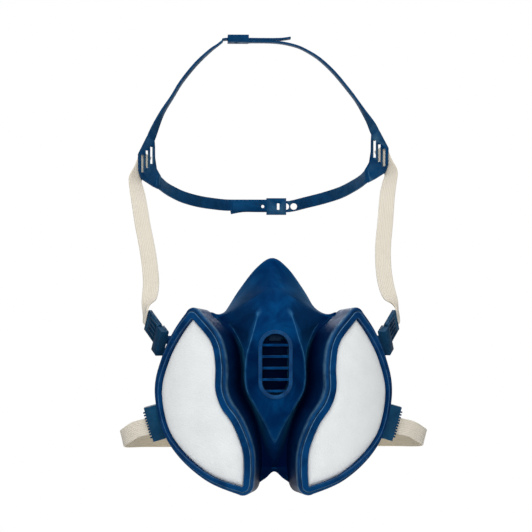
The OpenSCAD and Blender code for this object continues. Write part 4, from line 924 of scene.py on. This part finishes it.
# Painted shade on the strap's back face
back_painted_shade = spread(tree, face, 0.35, 0.65, 0.75, 0.0)
tree.links.new(tint(tree, back_painted_shade, aged, CREAM_PAINTED_SHADE), shader.inputs["Base Color"])
tree.links.new(spread(tree, relief, -0.5, 1.4, 0.95, 0.75), shader.inputs["Roughness"])
tree.links.new(bump.outputs[0], shader.inputs["Normal"])
shader.inputs["Specular IOR Level"].default_value = 0.2
shader.inputs["Sheen Weight"].default_value = 0.15

for side, end in SIDES:
    rows, marks = webbing_strip(right_route if side > 0 else upper_route, -side * STRAP_SWAY, *UPPER_FREE)
    upper = surface("upper_webbing_" + end, on_side(rows, side), marks, sharp=60, closed=False)
    upper.data.materials.append(webbing)
    if side < 0:
        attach(upper, "harness")
    else:
        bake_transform(upper)
    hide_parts("upper_strap_" + end)
    rows, marks = webbing_strip(neck_route, side * STRAP_SWAY, *NECK_FREE)
    neck = surface("neck_webbing_" + end, on_side(rows, side), marks, sharp=60, closed=False)
    settle(neck, webbing, "neck_strap", "webbing", "neck_strap_" + end)

# Neck clasp: two small moulded plates behind the neck, one on the end of each neck strap.
# The hook drops into the eye, and the webbing's pull holds it there.
for node in ("clasp_hook", "clasp_eye"):
    settle(edged_copy(node, 0.4), buckle_plastic, "neck_strap", "buckle_plastic", node)

# Stage: a pale paper floor well below the held mask, white surroundings, and soft studio lamps in front,
# above, behind and on both sides. The camera has the photograph's viewing angle.
FLOOR_Z, FLOOR_R = -0.27, 0.78
FLOOR_RINGS, FLOOR_TURNS = 12, 96
FLOOR_FADE, FLOOR_GONE = 0.55, 0.97
PAPER_LOW, PAPER_HIGH = (0.90, 0.90, 0.90, 1), (0.94, 0.94, 0.94, 1)
CAMERA_PLACE, CAMERA_TURN = (-0.0464, -1.1390, 0.0597), (90, 0, -2.2)
CAMERA_LENS, CAMERA_SENSOR = 124.06, 36
WORLD_LIGHT = 0.30
LAMPS = [
    ("front_box", (-0.25, -1.5, 1.25), (0, -0.02, 0.05), 1.3, 0.9, 12),
    ("camera_box", (-0.05, -1.6, 0.25), (0, -0.02, 0.0), 0.5, 0.5, 8),
    ("top_box", (0.0, 0.05, 1.25), (0, 0, 0.05), 1.1, 1.1, 7),
    ("back_box", (0.0, 1.3, 0.72), (0, -0.03, 0.05), 1.0, 0.3, 5),
    ("left_strip", (-1.2, -0.7, 0.35), (0, 0, 0.04), 0.4, 1.2, 1.6),
    ("right_strip", (1.2, -0.7, 0.35), (0, 0, 0.04), 0.4, 1.2, 1.6)]

turn = np.linspace(0, 2 * math.pi, FLOOR_TURNS, endpoint=False)[None, :]
reach = np.linspace(0, FLOOR_R, FLOOR_RINGS)[:, None]
flat = np.full((FLOOR_RINGS, FLOOR_TURNS), FLOOR_Z)
disc = np.stack([reach * np.cos(turn), reach * np.sin(turn), flat], -1) / MM
floor = surface("floor", disc, {}, closed=False)
paper, tree, shader = new_finish("floor_paper")
place = put(tree, "TexCoord").outputs["Object"]
tooth = put(tree, "TexNoise", Vector=place, Scale=600.0, Detail=3)
tree.links.new(tint(tree, tooth.outputs[0], PAPER_LOW, PAPER_HIGH), shader.inputs["Base Color"])
shader.inputs["Roughness"].default_value = 0.9
shader.inputs["Specular IOR Level"].default_value = 0.1
middle = put(tree, "Mapping", Vector=place, Location=(0, 0, -FLOOR_Z))
far = put(tree, "VectorMath", operation="LENGTH")
tree.links.new(middle.outputs[0], far.inputs[0])
clear = put(tree, "BsdfTransparent")
edge = spread(tree, far.outputs["Value"], FLOOR_R * FLOOR_FADE, FLOOR_R * FLOOR_GONE)
fading = put(tree, "MixShader", Fac=edge)
tree.links.new(shader.outputs[0], fading.inputs[1])
tree.links.new(clear.outputs[0], fading.inputs[2])
tree.links.new(fading.outputs[0], tree.nodes["Material Output"].inputs["Surface"])
floor.data.materials.append(paper)

world = bpy.data.worlds.new("studio")
bpy.context.scene.world = world
world.use_nodes = True
tree = world.node_tree
backdrop = tree.nodes["Background"].inputs
rays = put(tree, "LightPath").outputs
way = put(tree, "SeparateXYZ", Vector=put(tree, "TexCoord").outputs["Generated"])
behind = spread(tree, way.outputs["Y"], 0.75, 1.0, 0.01, 0.8)
glossy = reckon(tree, "MAXIMUM", rays["Is Glossy Ray"], rays["Is Transmission Ray"])
soft = reckon(tree, "SUBTRACT", 1.0, glossy)
lit = reckon(tree, "MULTIPLY_ADD", soft, WORLD_LIGHT, reckon(tree, "MULTIPLY", glossy, behind))
backdrop["Color"].default_value = (1, 1, 1, 1)
tree.links.new(reckon(tree, "MAXIMUM", rays["Is Camera Ray"], lit), backdrop["Strength"])

for name, spot, aim, wide, high, power in LAMPS:
    lamp = bpy.data.lights.new(name, "AREA")
    lamp.shape, lamp.size, lamp.size_y, lamp.energy = "RECTANGLE", wide, high, power
    held = bpy.data.objects.new(name, lamp)
    held.location = spot
    held.rotation_euler = (Vector(aim) - Vector(spot)).to_track_quat("-Z", "Y").to_euler()
    bpy.context.scene.collection.objects.link(held)

camera = bpy.data.cameras.new("camera")
camera.lens, camera.sensor_width = CAMERA_LENS, CAMERA_SENSOR
viewer = bpy.data.objects.new("camera", camera)
viewer.location = CAMERA_PLACE
viewer.rotation_euler = [math.radians(turn) for turn in CAMERA_TURN]
bpy.context.scene.collection.objects.link(viewer)
bpy.context.scene.camera = viewer
bpy.context.scene.view_settings.view_transform = "Standard"
